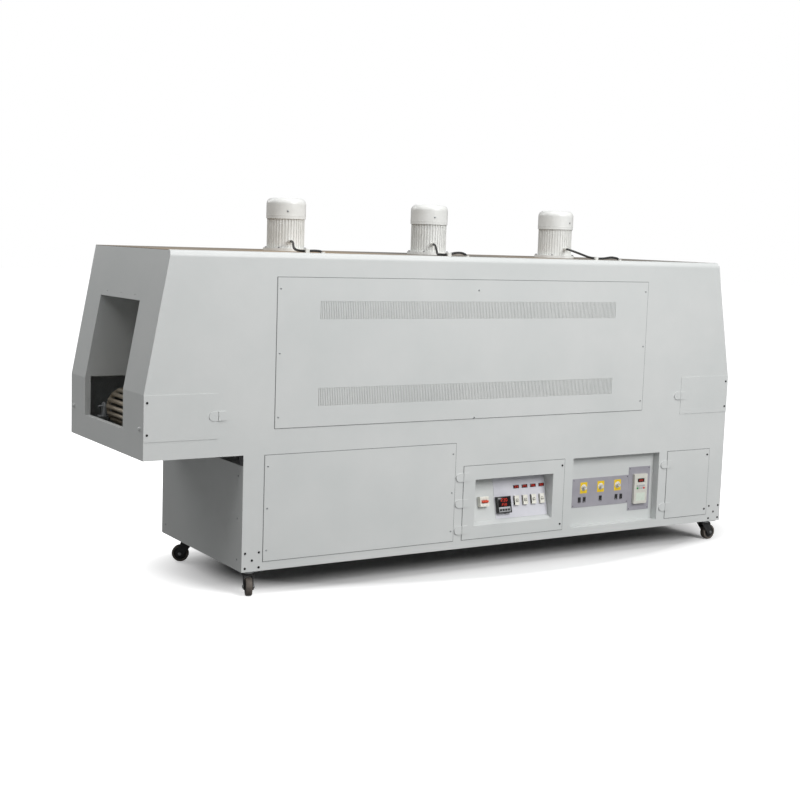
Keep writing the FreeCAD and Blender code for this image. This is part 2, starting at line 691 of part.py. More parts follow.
def control_frame(thing):
    """Stands a thing on the recess's sloping back: its own Z runs up the slope and its own -Y out of it."""
    (y_foot, z_foot), (run, height) = control_slope()
    place(thing, (CONTROL[0], y_foot, z_foot), FreeCAD.Rotation(FreeCAD.Vector(-1, 0, 0), 1))
    thing.setExpression("Placement.Rotation.Angle", f"atan({run.text} / {height.text})")
    return thing


def toggle_slot(name, x_middle, z_middle, face, width, drum):
    """Room for a lever's drum and its tongue in a switch body."""
    grown = drum + dim.lever_play
    bore = rod(name + "_bore", "X", (x_middle - width / 2 - dim.lever_play, face + drum, z_middle), grown,
               width + 2 * dim.lever_play)
    mouth = block(name + "_mouth", centred(x_middle, width + 2 * dim.lever_play), (face - drum, face + drum),
                  (z_middle - grown, z_middle + grown))
    return fuse(name + "_slot", bore, mouth)


def toggle(name, x_middle, z_middle, face, width, drum, reach):
    """A lever: a drum sunk in its switch, with a tongue that stands up from it."""
    barrel = rod(name + "_drum", "X", (x_middle - width / 2, face + drum, z_middle), drum, width)
    tongue = block(name + "_tongue", centred(x_middle, width), (face - reach, face + drum),
                   centred(z_middle, drum * TONGUE_SHARE))
    return fuse(name + "_stick", barrel, tongue)


def control_items():
    back = ZERO
    face = back - dim.control_plate
    foot = dim.plate_foot
    sheet_span = (dim.plate_left, dim.plate_left + dim.plate_width)
    panel = block("control_sheet", sheet_span, (face, back), (foot, foot + dim.plate_height))
    node("control_plate", control_frame(group("control_plate_piece", [panel])))

    box = dim.controller_size
    instruments = [block("controller", (dim.controller_left, dim.controller_left + box),
                         (face - dim.controller_proud, face), (dim.controller_low, dim.controller_low + box))]
    bodies = []
    for i in range(4):
        middle = dim.switch_first + i * dim.switch_pitch
        above = dim.meter_first + i * dim.switch_pitch
        instruments.append(block(f"meter_{i}", centred(above, dim.meter_width),
                                 (face - dim.meter_proud, face),
                                 (dim.meter_low, dim.meter_low + dim.meter_height)))
        z_middle = dim.switch_low + dim.switch_height / 2
        front = face - dim.switch_proud
        body = block(f"switch_{i}", centred(middle, dim.switch_width), (front, face),
                     (dim.switch_low, dim.switch_low + dim.switch_height))
        slot = toggle_slot(f"switch_{i}", middle, z_middle, front, dim.toggle_width, dim.toggle_drum / 2)
        bodies.append(cut(f"switch_body_{i}", body, slot))
        lever = toggle(f"heater_{i}", middle, z_middle, front, dim.toggle_width, dim.toggle_drum / 2,
                       dim.toggle_reach)
        node(f"heater_lever_{i + 1}", control_frame(group(f"heater_lever_piece_{i}", [lever])))
    node("panel_meters", control_frame(group("instruments", instruments)))

    front = back - dim.breaker_proud
    middle = dim.breaker_left + dim.breaker_width / 2
    z_middle = dim.breaker_low + dim.breaker_height / 2
    body = block("breaker", centred(middle, dim.breaker_width), (front, back),
                 (dim.breaker_low, dim.breaker_low + dim.breaker_height))
    handle = dim.breaker_width - 2 * dim.lever_drum
    slot = toggle_slot("breaker", middle, z_middle, front, handle, dim.lever_drum)
    bodies.append(cut("breaker_case", body, slot))
    node("breaker_bodies", control_frame(group("breaker_set", bodies)))
    lever = toggle("breaker_lever", middle, z_middle, front, handle, dim.lever_drum, dim.lever_reach)
    node("breaker_lever", control_frame(group("breaker_lever_piece", [lever])))


def niche_x(offset):
    return NICHE[0] + offset


def rocker_spots():
    spots = []
    for k, sides in ((0, (-1, 1)), (1, (0,)), (2, (-1, 1))):
        for side in sides:
            middle = niche_x(dim.knob_first + k * dim.knob_pitch) + (k - 1) * dim.rocker_shift
            spots.append(middle + side * dim.rocker_half)
    return spots


def inverter_niche():
    depth = (FRONT + dim.sheet, FRONT + dim.niche_depth)
    shell = block("niche_shell", (NICHE[0] - dim.sheet, NICHE[1] + dim.sheet),
                  (depth[0], depth[1] + dim.sheet),
                  (ROW[0] - dim.sheet, ROW[1] + dim.sheet))
    hollow = block("niche_hollow", NICHE, depth, ROW)
    plate_face = depth[1] - dim.sheet
    through = (plate_face - dim.sheet, depth[1] + 2 * dim.sheet)
    drive_left = niche_x(dim.selector_left + dim.selector_width)
    drive = (drive_left, drive_left + dim.drive_plate_width)
    drive_row = (ROW[0] + dim.drive_plate_low, ROW[0] + dim.drive_plate_low + dim.drive_plate_height)
    selector = (niche_x(dim.selector_left), drive_left - dim.hinge_gap)
    selector_row = (ROW[0] + dim.selector_low, ROW[0] + dim.selector_low + dim.selector_height)

    bezel = centred((drive[0] + drive[1]) / 2, dim.inverter_width)
    bezel_row = (drive_row[0] + dim.inverter_low, drive_row[0] + dim.inverter_low + dim.inverter_height)
    case, case_row = shrunk(bezel, dim.screw), shrunk(bezel_row, dim.screw)
    ports = [block("inverter_port", shrunk(case, -dim.hinge_gap), through, shrunk(case_row, -dim.hinge_gap))]
    z_rocker = ROW[0] + dim.rocker_rise
    wide = dim.rocker_width + 2 * dim.rocker_play
    back_ports, front_ports = [], []
    tall = root(power(dim.rocker_radius) - power(dim.rocker_sink - dim.sheet))
    for i, x in enumerate(rocker_spots()):
        back_ports.append(block(f"rocker_port_{i}", centred(x, wide), through,
                                centred(z_rocker, 2 * dim.rocker_radius)))
        front_ports.append(block(f"rocker_slot_{i}", centred(x, wide), through, centred(z_rocker, 2 * tall)))
    z_knob = ROW[0] + dim.knob_rise
    for k in range(3):
        x = niche_x(dim.knob_first + k * dim.knob_pitch)
        ports.append(rod(f"knob_port_{k}", "Y", (x, through[0], z_knob), dim.knob_shaft + dim.pin_play,
                         through[1] - through[0]))
    ports = fuse("niche_ports", *ports)
    node("inverter_niche", cut("niche", cut("niche_tray", shell, hollow), ports, *back_ports))
    selector_sheet = block("selector_sheet", selector, (plate_face, depth[1]), selector_row)
    drive_sheet = block("drive_sheet", drive, (plate_face, depth[1]), drive_row)
    plates = [cut("selector_plate", selector_sheet, ports, *front_ports),
              cut("drive_plate", drive_sheet, ports)]
    node("niche_plates", group("niche_plate_pair", plates))

    face = plate_face - dim.inverter_proud
    front = plate("inverter_bezel", "XZ",
                  [(u, v, dim.screw) for u, v in rectangle(bezel, bezel_row)], (face, plate_face))
    rear = block("inverter_case", case, (plate_face - dim.screw, plate_face + dim.inverter_depth), case_row)
    node("inverter", fuse("inverter_body", front, rear))

    for k in range(3):
        x = niche_x(dim.knob_first + k * dim.knob_pitch)
        grip = dim.knob_radius
        seat = dim.hinge_gap
        profile = [
            (ZERO, -2 * dim.sheet - dim.knob_length), (dim.knob_shaft, -2 * dim.sheet - dim.knob_length),
            (dim.knob_shaft, seat), (grip, seat), (grip, seat + dim.knob_shaft),
            (grip * KNOB_NECK, seat + dim.knob_shaft * 2),
            (grip * KNOB_TIP, seat + dim.knob_length), (ZERO, seat + dim.knob_length),
        ]
        body = turned(f"knob_{k}", (x, plate_face, z_knob), profile)
        body.Placement = FreeCAD.Placement(FreeCAD.Vector(), FreeCAD.Rotation(FreeCAD.Vector(1, 0, 0), 90))
        place(body, (x, plate_face, z_knob))
        node(f"fan_knob_{k + 1}", body)

    y_pivot = plate_face + dim.rocker_sink
    for i, x in enumerate(rocker_spots()):
        drum = rod(f"rocker_drum_{i}", "X", (x - dim.rocker_width / 2, y_pivot, z_rocker),
                   dim.rocker_radius - 2 * dim.rocker_play,
                   dim.rocker_width)
        crown = y_pivot - dim.rocker_radius
        facets = [
            (y_pivot, z_rocker - dim.rocker_radius), (y_pivot, z_rocker + dim.rocker_radius),
            (crown + dim.rocker_sink * ROCKER_HEAD, z_rocker + dim.rocker_radius),
            (crown + dim.rocker_sink * ROCKER_WAIST, z_rocker),
            (crown + dim.rocker_sink * ROCKER_FOOT, z_rocker - dim.rocker_radius),
        ]
        wedge = plate(f"rocker_wedge_{i}", "YZ", facets, (x - dim.rocker_width, x + dim.rocker_width))
        node(f"rocker_{i + 1}", common(f"rocker_key_{i}", drum, wedge))


def oven_liner():
    top = BASE + dim.ceiling
    def start(height):
        return end_slope(height) + dim.sheet + dim.mouth_lip
    low, high = start(dim.vestibule_low), start(dim.ceiling)
    z_low, z_deck = BASE + dim.vestibule_low, DECK + dim.sheet
    outline = [
        (LEFT + low, z_low), (LEFT + dim.vestibule, z_low), (LEFT + dim.vestibule, z_deck),
        (RIGHT - dim.vestibule, z_deck), (RIGHT - dim.vestibule, z_low), (RIGHT - low, z_low),
        (RIGHT - high, top), (LEFT + high, top),
    ]
    walls = [
        plate("liner_front", "XZ", outline, (MOUTH[0] - dim.sheet, MOUTH[0])),
        plate("liner_rear", "XZ", outline, (MOUTH[1], MOUTH[1] + dim.sheet)),
    ]
    holes = [Circle((motor_middle(k), 0), dim.suction_hole) for k in MOTORS]
    roof = rectangle((LEFT + high, RIGHT - high), (MOUTH[0] - dim.sheet, MOUTH[1] + dim.sheet))
    walls.append(plate("liner_top", "XY", roof, (top, top + dim.sheet), holes))
    node("oven_liner", group("liner", walls))

    seat = top + dim.sheet
    elements = []
    x_span = (LEFT + dim.vestibule, RIGHT - dim.vestibule)
    for name, y in (("front", MIDDLE - dim.heater_reach), ("rear", MIDDLE + dim.heater_reach)):
        pieces = [rod(f"heater_{name}", "X", (x_span[0], y, seat + dim.heater_rise), dim.heater_radius,
                      x_span[1] - x_span[0])]
        for i, x in enumerate((x_span[0] + dim.heater_foot, ZERO, x_span[1] - dim.heater_foot)):
            pieces.append(block(f"heater_{name}_foot_{i}", centred(x, dim.heater_foot),
                                centred(y, dim.heater_foot),
                                (seat, seat + dim.heater_rise)))
        elements.append(fuse(f"heater_{name}_element", *pieces))
    node("heater_elements", group("heaters", elements))


def conveyor():
    wheel = dim.belt_radius - dim.rod_radius - dim.sprocket_play
    shafts = {"idler_shaft": (LEFT + dim.shaft_inset, 1), "drive_shaft": (RIGHT - dim.shaft_inset, -1)}
    bearing_rear = (BELT[1] + dim.bearing_gap, BELT[1] + dim.bearing_gap + dim.bearing_width)
    bearing_front = (BELT[0] - dim.bearing_gap - dim.bearing_width, BELT[0] - dim.bearing_gap)
    gear_span = (bearing_rear[1] + dim.sprocket_width,
                 bearing_rear[1] + dim.sprocket_width + dim.gearbox_width)
    base_low = AXLE - dim.bearing_drop
    deck = DECK + dim.sheet
    bore = dim.shaft_radius + dim.shaft_play
    blocks, frame = [], []
    for name, (x, inward) in shafts.items():
        rear_end = gear_span[1] if name == "drive_shaft" else bearing_rear[1]
        pieces = [rod(name + "_bar", "Y", (x, bearing_front[0], AXLE), dim.shaft_radius,
                      rear_end - bearing_front[0])]
        for i, y in enumerate((BELT[0] + dim.chain_width + dim.sprocket_play,
                               BELT[1] - dim.chain_width - dim.sprocket_play - dim.sprocket_width)):
            pieces.append(rod(f"{name}_sprocket_{i}", "Y", (x, y, AXLE), wheel, dim.sprocket_width))
        node(name, fuse(name + "_set", *pieces))
        for side, y_span in (("front", bearing_front), ("rear", bearing_rear)):
            label = f"{name}_bearing_{side}"
            housing = rod(label + "_ring", "Y", (x, y_span[0], AXLE), dim.bearing_radius, dim.bearing_width)
            foot = block(label + "_foot", centred(x, dim.bearing_base), y_span,
                         (base_low, AXLE - dim.bearing_radius / 2))
            hole = rod(label + "_hole", "Y", (x, y_span[0], AXLE), bore, dim.bearing_width)
            blocks.append(cut(label, fuse(label + "_body", housing, foot), hole))
            table = block(label + "_table", centred(x, dim.bearing_base + 2 * dim.cross_bar), y_span,
                          (base_low - dim.rail_width, base_low))
            legs = [
                block(f"{label}_leg_{i}",
                      (x + s * dim.bearing_base / 2, x + s * dim.bearing_base / 2 + dim.rail_width),
                      y_span, (deck, base_low - dim.rail_width))
                for i, s in enumerate((-1, 1))
            ]
            frame.append(fuse(label + "_stand", table, *legs))
            if name == "idler_shaft":
                lug_x = x - inward * dim.take_up
                lug = block(label + "_lug", (lug_x, lug_x + dim.rail_width), y_span, (base_low, AXLE))
                boss = rod(label + "_boss", "X", (lug_x, (y_span[0] + y_span[1]) / 2, AXLE),
                           dim.bearing_width / 2,
                           dim.rail_width)
                screw_rod = rod(label + "_screw", "X",
                                (lug_x - dim.cross_bar, (y_span[0] + y_span[1]) / 2, AXLE),
                                dim.screw, dim.take_up + dim.cross_bar - dim.bearing_radius)
                shelf = block(label + "_shelf",
                              (lug_x - dim.cross_bar, x - dim.bearing_base / 2 - dim.cross_bar), y_span,
                              (base_low - dim.rail_width, base_low))
                blocks.append(fuse(label + "_take_up", lug, boss, screw_rod, shelf))
    node("bearing_blocks", group("bearings", blocks))

    under_rods = AXLE + wheel
    bar_top = AXLE + dim.cross_bar / 2
    rail_x = (LEFT + dim.shaft_inset + dim.belt_radius, RIGHT - dim.shaft_inset - dim.belt_radius)
    rails = [
        block("rail_front", rail_x, (BELT[0] + dim.rail_inset, BELT[0] + dim.rail_inset + dim.rail_width),
              (bar_top, under_rods)),
        block("rail_rear", rail_x, (BELT[1] - dim.rail_inset - dim.rail_width, BELT[1] - dim.rail_inset),
              (bar_top, under_rods)),
    ]
    for i, x in enumerate((rail_x[0] + dim.cross_bar, ZERO, rail_x[1] - dim.cross_bar)):
        reach = (BELT[0] - dim.cross_reach, BELT[1] + dim.cross_reach)
        rails.append(block(f"cross_bar_{i}", centred(x, dim.cross_bar), reach,
                           (bar_top - dim.cross_bar, bar_top)))
        for j, y in enumerate((reach[0], reach[1] - dim.rail_width)):
            rails.append(block(f"cross_leg_{i}_{j}", centred(x, dim.cross_bar), (y, y + dim.rail_width),
                               (deck, bar_top)))
    node("conveyor_rails", group("rails", [fuse("rail_frame", *rails), *frame]))

    x = RIGHT - dim.shaft_inset
    box_row = centred(AXLE, dim.gearbox)
    box = block("gearbox_case", centred(x, dim.gearbox), gear_span, box_row)
    y_motor = (gear_span[0] + gear_span[1]) / 2
    barrel = rod("gear_motor", "X", (x - dim.gearbox / 2 - dim.gear_motor_length, y_motor, AXLE),
                 dim.gear_motor_radius,
                 dim.gear_motor_length)
    stand = block("gearbox_stand", centred(x, dim.gearbox), gear_span, (deck, box_row[0]))
    hole = rod("gearbox_hole", "Y", (x, gear_span[0], AXLE), bore, dim.gearbox_width)
    node("drive_gearmotor", cut("gearmotor", fuse("gearmotor_body", box, barrel, stand), hole))


def number(alias):
    return sheet.get(alias)


def slat_belt():
    """Rods between two chains round the two shafts, in eight lengths that meet between rods."""
    radius, half = number("belt_radius"), number("length") / 2 - number("shaft_inset")
    height = number("caster_height") + number("shaft_height")
    width, chain = number("belt_width"), number("chain_width")
    front = number("tunnel_shift") - width / 2
    straight, turn = 2 * half, math.pi * radius
    around = 2 * (straight + turn)
    count = round(around / number("rod_pitch"))
    step = around / count
    across = FreeCAD.Vector(0, width, 0)
    shafts = FreeCAD.Vector(-half, front, height), FreeCAD.Vector(half, front, height)

    def spot(distance):
        """Shaft that a point of the loop belongs to, and its way out from that shaft's axis."""
        side, along = divmod(distance % around, straight + turn)
        flip = 1 if side == 0 else -1
        near, far = (0, 1) if side == 0 else (1, 0)
        if along <= straight:
            shaft = shafts[near] if along < straight / 2 else shafts[far]
            x = flip * (along - half)
            return shaft, FreeCAD.Vector(x - shaft.x, 0, flip * radius)
        angle = (along - straight) / radius
        return shafts[far], FreeCAD.Vector(flip * radius * math.sin(angle), 0,
                                           flip * radius * math.cos(angle))

    def stadium(r):
        up, out = FreeCAD.Vector(0, 0, r), FreeCAD.Vector(r, 0, 0)
        left, right = shafts
        edges = [
            Part.LineSegment(left + up, right + up).toShape(),
            Part.Arc(right + up, right + out, right - up).toShape(),
            Part.LineSegment(right - up, left - up).toShape(),
            Part.Arc(left - up, left - out, left + up).toShape(),
        ]
        return Part.Face(Part.Wire(edges)).extrude(FreeCAD.Vector(0, chain, 0))

    thick = number("chain_height") / 2
    ring = stadium(radius + thick).cut(stadium(radius - thick))
    other_ring = ring.translated(FreeCAD.Vector(0, width - chain, 0))
    bends = [start + share * turn / 3 for start in (straight, 2 * straight + turn) for share in range(4)]
    cuts = sorted(round(bend / step - 0.5) % count for bend in bends)
    lengths = []
    for i, (first, last) in enumerate(zip(cuts, cuts[1:] + [cuts[0] + count])):
        corners = []
        for index in (first, last):
            shaft, out = spot((index + 0.5) * step)
            corners += [shaft, shaft + out * 2] if index == first else [shaft + out * 2, shaft]
        if corners[0] == corners[-1]:
            corners.pop()
        wedge = Part.Face(Part.makePolygon(corners + corners[:1])).extrude(across)
        pieces = [other_ring.common(wedge)]
        for index in range(first + 1, last + 1):
            shaft, out = spot(index * step)
            pieces.append(Part.makeCylinder(number("rod_radius"), width, shaft + out, across))
        belt = doc.addObject("Part::Feature", f"belt_{i}")
        belt.Shape = ring.common(wedge).multiFuse(pieces)
        lengths.append(belt)
    node("slat_belt", group("belt_loop", lengths))


def fan_motors():
    bodies, cowls = [], []
    for k in MOTORS:
        name = f"motor_{k + 2}"
        spot = (motor_middle(k), 0, ROOF)
        bore = dim.blower_shaft + dim.shaft_play
        shield = dim.motor_height - dim.flange_height
        profile = [
            (bore, ZERO), (dim.flange_radius, ZERO), (dim.flange_radius, dim.flange_height),
            (dim.motor_radius, dim.flange_height), (dim.motor_radius, shield),
            (dim.cowl_radius, shield), (dim.cowl_radius, dim.motor_height), (ZERO, dim.motor_height),
            (ZERO, dim.shaft_seat), (bore, dim.shaft_seat),
        ]
        body = turned(name, (ZERO, ZERO, ZERO), profile)
        fin = rectangle((dim.motor_radius - dim.fin_width, dim.motor_radius + dim.fin_height),
                        centred(ZERO, dim.fin_width))
        patterned(body, fin, "XY", dim.flange_height, shield - dim.flange_height, FIN_COUNT, name + "_fin")
        bodies.append(place(body, spot))
        wall = dim.cowl_wall
        inside = dim.cowl_radius - wall
        cap = [
            (ZERO, dim.cowl_height), (ZERO, dim.cowl_height - wall),
            (inside, dim.cowl_height - wall, dim.cowl_round - wall), (inside, ZERO),
            (dim.cowl_radius, ZERO), (dim.cowl_radius, dim.cowl_height, dim.cowl_round),
        ]
        cowls.append(turned(name + "_cowl", (motor_middle(k), ZERO, ROOF + dim.motor_height), cap))
        blower(k)
    node("motor_bodies", group("motors", bodies))
    node("motor_cowls", group("cowls", cowls))


def blower(k):
    name = f"blower_{k + 2}"
    drop = -dim.blower_drop
    top = dim.shaft_seat - dim.hinge_gap
    profile = [
        (ZERO, drop - dim.blower_height), (dim.blower_hub, drop - dim.blower_height),
        (dim.blower_hub, drop - dim.blower_plate),
        (dim.blower_radius, drop - dim.blower_plate), (dim.blower_radius, drop), (dim.blower_shaft, drop),
        (dim.blower_shaft, top), (ZERO, top),
    ]
    body = turned(name, (ZERO, ZERO, ZERO), profile)
    blade = rectangle((dim.blower_hub + dim.blower_shaft, dim.blower_radius), centred(ZERO, dim.blower_plate))
    patterned(body, blade, "XY", drop - dim.blower_height, dim.blower_height - dim.blower_plate / 2,
              BLADE_COUNT, name + "_blade")
    node(name, place(body, (motor_middle(k), ZERO, ROOF)))


# Points of each lead from its gland: along X from the motor's axis, back from the front, up from the roof.
LEADS = {
    -1: [
        (-24, 319, 42), (-31, 294, 41), (-50, 250, 37), (-78, 195, 28), (-104, 140, 18), (-120, 92, 10),
        (-118, 60, 7), (-94, 46, 7), (-56, 47, 9), (-27, 46, 7),
    ],
    0: [
        (-33, 322, 48), (-42, 295, 45), (-66, 248, 27), (-96, 195, 10), (-128, 142, 6), (-156, 92, 6),
        (-158, 58, 6), (-136, 46, 7), (-100, 46, 16), (-64, 47, 16), (-43, 46, 8),
    ],
    1: [
        (-1, 318, 44), (-8, 294, 42), (-28, 248, 38), (-46, 195, 32), (-64, 140, 25), (-76, 92, 18),
        (-76, 60, 11), (-49, 46, 7), (0, 46, 7), (48, 46, 15), (88, 46, 9),
    ],
}


def lead_points(k):
    x, front = k * number("motor_pitch"), -number("depth") / 2
    roof = number("caster_height") + number("body_height")
    points = [FreeCAD.Vector(x + across, front + back, roof + up) for across, back, up in LEADS[k]]
    end = lead_end(k)
    points.append(FreeCAD.Vector(value(end[0]), value(end[1]), roof - number("lead_drop")))
    return points


def arc_route(points):
    """Straight runs joined by tangent arcs, each as large as its two runs allow."""
    edges, start, radii = [], points[0], []
    for before, here, after in zip(points, points[1:], points[2:]):
        back, ahead = (before - here), (after - here)
        turn = math.pi - back.getAngle(ahead)
        reach = BEND_SHARE * min(back.Length, ahead.Length)
        radii.append(reach / math.tan(turn / 2))
        back.normalize()
        ahead.normalize()
        entry, leave = here + back * reach, here + ahead * reach
        inward = back + ahead
        inward.normalize()
        centre = here + inward * (radii[-1] / math.cos(turn / 2))
        middle = centre - inward * radii[-1]
        edges.append(Part.LineSegment(start, entry).toShape())
        edges.append(Part.Arc(entry, middle, leave).toShape())
        start = leave
    edges.append(Part.LineSegment(start, points[-1]).toShape())
    print("lead radii", [round(radius) for radius in radii])
    return Part.Wire(edges)


def leads():
    tubes, fittings = [], []
    for k in MOTORS:
        points = lead_points(k)
        route = arc_route(points)
        first = points[1] - points[0]
        section = Part.Wire(Part.Circle(points[0], first, number("lead_radius")).toShape())
        pipe = route.makePipeShell([section], True, False)
        wanted = math.pi * number("lead_radius") ** 2 * route.Length
        assert abs(pipe.Volume - wanted) < 0.01 * wanted, "a lead's tube has the wrong volume"
        tube = doc.addObject("Part::Feature", f"lead_{k + 2}")
        tube.Shape = pipe
        tubes.append(tube)
        fittings += lead_fittings(k, points, first)
    node("motor_leads", group("lead_set", tubes))
    x, z = mains_spot()
    barrel = rod("mains_barrel", "Y", (x, BACK - dim.mains_length / 2, z), dim.mains_gland, dim.mains_length)
    nut = rod("mains_nut", "Y", (x, BACK, z), dim.mains_gland + dim.screw, dim.screw)
    bore = rod("mains_hole", "Y", (x, BACK - dim.mains_length / 2, z), dim.mains_bore, dim.mains_length)
    fittings.append(cut("mains_fitting", fuse("mains_body", barrel, nut), bore))
    node("lead_fittings", group("fittings", fittings))


def lead_fittings(k, points, first):
    """Gland on the motor, white saddle clip on the roof and grommet where the lead goes through it."""
    name = f"lead_{k + 2}"
    pieces = []
    roof = number("caster_height") + number("body_height")
    radius, wall = number("gland_radius"), number("lead_radius")
    heart = FreeCAD.Vector(k * number("motor_pitch"), 0, points[0].z)
    inward = heart - points[0]
    depth = inward.Length - number("motor_radius") - number("fin_height") + number("gland_length")
    aim = FreeCAD.Vector(first)
    aim.normalize()
    inward.normalize()
    gland = doc.addObject("Part::Feature", name + "_gland")
    gland.Shape = Part.makeCylinder(radius, depth, points[0], inward)
    pieces.append(gland)
    saddle = doc.addObject("Part::Feature", name + "_clip")
    spot = points[7]
    low = FreeCAD.Vector(spot.x - radius, spot.y - 1.5 * radius, roof)
    outer = Part.makeBox(2 * radius, 3 * radius, spot.z - roof + wall + number("clip_cover"), low)
    saddle.Shape = outer
    pieces.append(saddle)
    ring = rod(name + "_ring", "Z", (*lead_end(k), ROOF - dim.sheet), dim.grommet,
               dim.sheet + dim.lead_radius)
    hole = rod(name + "_hole", "Z", (*lead_end(k), ROOF - dim.sheet), dim.lead_radius,
               dim.sheet + dim.lead_radius)
    pieces.append(cut(name + "_grommet", ring, hole))
    return pieces


def caster_spot(corner):
    x = CABINET + dim.caster_end if corner.endswith("left") else RIGHT - dim.caster_end
    y = FRONT + dim.caster_front if corner.startswith("front") else BACK - dim.caster_rear
    return x, y


def casters():
    plates = []
    head_top = -dim.caster_sheet - dim.race_height - dim.swivel_play
    for i, (corner, angle) in enumerate(CASTERS.items(), start=1):
        x, y = caster_spot(corner)
        turn = FreeCAD.Rotation(FreeCAD.Vector(0, 0, 1), angle)
        half = dim.caster_plate / 2
        top = block(corner + "_top", (x - half, x + half), (y - half, y + half),
                    (BASE - dim.caster_sheet, BASE))
        race = rod(corner + "_race", "Z", (x, y, BASE - dim.caster_sheet - dim.race_height),
                   dim.race_radius, dim.race_height)
        socket = rod(corner + "_socket", "Z", (x, y, BASE - dim.caster_sheet - dim.race_height),
                     dim.kingpin + dim.pin_play,
                     dim.race_height)
        plates.append(cut(corner + "_plate", fuse(corner + "_mount", top, race), socket))

        axle = dim.wheel_radius - dim.caster_height
        y_leg = dim.wheel_width / 2 + dim.wheel_play
        head = rod(corner + "_head", "Z", (ZERO, ZERO, head_top - dim.fork_height), dim.fork_head,
                   dim.fork_height)
        pin = rod(corner + "_kingpin", "Z", (ZERO, ZERO, head_top - dim.fork_height), dim.kingpin,
                  dim.fork_height + dim.swivel_play + dim.race_height)
        legs = []
        for side, s in (("a", -1), ("b", 1)):
            y_span = ordered(s * y_leg, s * (y_leg + dim.fork_wall))
            outline = [
                (-dim.fork_head, head_top), (-dim.fork_head, head_top - dim.fork_height),
                (dim.trail - dim.fork_width / 3, axle - dim.fork_width / 3),
                (dim.trail + dim.fork_width / 3, axle - dim.fork_width / 3),
                (dim.trail + dim.fork_width / 2, axle), (dim.fork_head, head_top),
            ]
            legs.append(plate(f"{corner}_leg_{side}", "XZ", outline, y_span))
        bridge = block(corner + "_bridge", (-dim.fork_head, dim.fork_head),
                       (-y_leg - dim.fork_wall, y_leg + dim.fork_wall),
                       (head_top - dim.fork_height, head_top))
        rod_half = y_leg + dim.fork_wall + dim.wheel_play
        spindle = rod(corner + "_axle", "Y", (dim.trail, -rod_half, axle), dim.axle_radius, 2 * rod_half)
        fork = fuse(corner + "_fork", head, pin, bridge, *legs, spindle)
        node(f"caster_fork_{i}", place(fork, (x, y, BASE), turn))

        width = dim.wheel_width
        bore = dim.axle_radius + dim.pin_play
        hub, dish, web, rim = (dim.wheel_radius * share for share in WHEEL_STEPS)
        profile = [
            (bore, -width / 2), (hub, -width / 2), (dish, -width / 2 + dim.wheel_play),
            (web, -width / 2 + dim.wheel_play), (rim, -width / 2),
            (dim.wheel_radius - dim.wheel_play, -width / 2),
            (dim.wheel_radius, -width / 2 + 2 * dim.wheel_play),
            (dim.wheel_radius, width / 2 - 2 * dim.wheel_play),
            (dim.wheel_radius - dim.wheel_play, width / 2),
            (rim, width / 2), (web, width / 2 - dim.wheel_play),
            (dish, width / 2 - dim.wheel_play), (hub, width / 2), (bore, width / 2),
        ]
        wheel = turned(f"{corner}_wheel", (ZERO, ZERO, ZERO), profile, "Y")
        carrier = group(f"{corner}_wheel_piece", [place(wheel, (dim.trail, ZERO, axle))])
        node(f"caster_wheel_{i}", place(carrier, (x, y, BASE), turn))
        if corner == "front_left":
            pedal(x, y, turn, head_top)
    node("caster_plates", group("caster_plate_set", plates))


def pedal(x, y, turn, head_top):
    """Brake pedal behind the fork's head, on a pin between two ears."""
    x_pin = -dim.fork_head - dim.pedal_pin - dim.swivel_play
    z_pin = head_top - dim.fork_height / 2
    hub = rod("pedal_hub", "Y", (x_pin, -dim.pedal_width / 2, z_pin), dim.pedal_pin, dim.pedal_width)
    tread = block("pedal_tread", (x_pin - dim.pedal_length, x_pin),
                  (-dim.pedal_width / 2, dim.pedal_width / 2),
                  (z_pin - dim.fork_wall / 2, z_pin + dim.fork_wall / 2))
    lip = block("pedal_lip", (x_pin - dim.pedal_length, x_pin - dim.pedal_length + dim.fork_wall),
                (-dim.pedal_width / 2, dim.pedal_width / 2), (z_pin - dim.pedal_rise, z_pin))
    node("brake_pedal", place(fuse("pedal", hub, tread, lip), (x, y, BASE), turn))


base_frame()
front_skin()
rear_skin()
roof_sheet()
end_hood("infeed_hood", LEFT, 1, DECK)
end_hood("outfeed_hood", RIGHT, -1, BASE)
floor_and_end_panel()
vent_panel()
lower_cover()
doors()
panel_screws()
control_items()
inverter_niche()
oven_liner()
conveyor()
slat_belt()
fan_motors()
leads()
casters()
doc.recompute()

for thing in doc.Objects:
    if "Invalid" in thing.State or "Error" in thing.State:
        raise RuntimeError(f"{thing.Name} failed: {thing.State}")
for name, thing in nodes.items():
    if thing.Shape.isNull() or not thing.Shape.isValid():
        raise RuntimeError(f"{name} has no valid shape")

os.makedirs("parts", exist_ok=True)
for name, thing in nodes.items():
    thing.Shape.exportStep(f"parts/{name}.step")
print(len(nodes), "nodes")
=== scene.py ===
# %% [markdown]
# # A conveyor reflow oven
# The oven is a long sheet-steel tunnel on a cabinet. Boards ride through it on a belt of rods, three fan
# motors on the roof stir the hot air, and the controls sit in two recesses along the front of the cabinet.
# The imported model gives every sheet, door and shaft its place, so this lesson only finishes them: paint,
# plating, plastics, the small parts of the instruments, and the studio round it. Everything is in metres.

# %% The frame
import json
import math

import bmesh
import bpy
from mathutils import Matrix, Vector


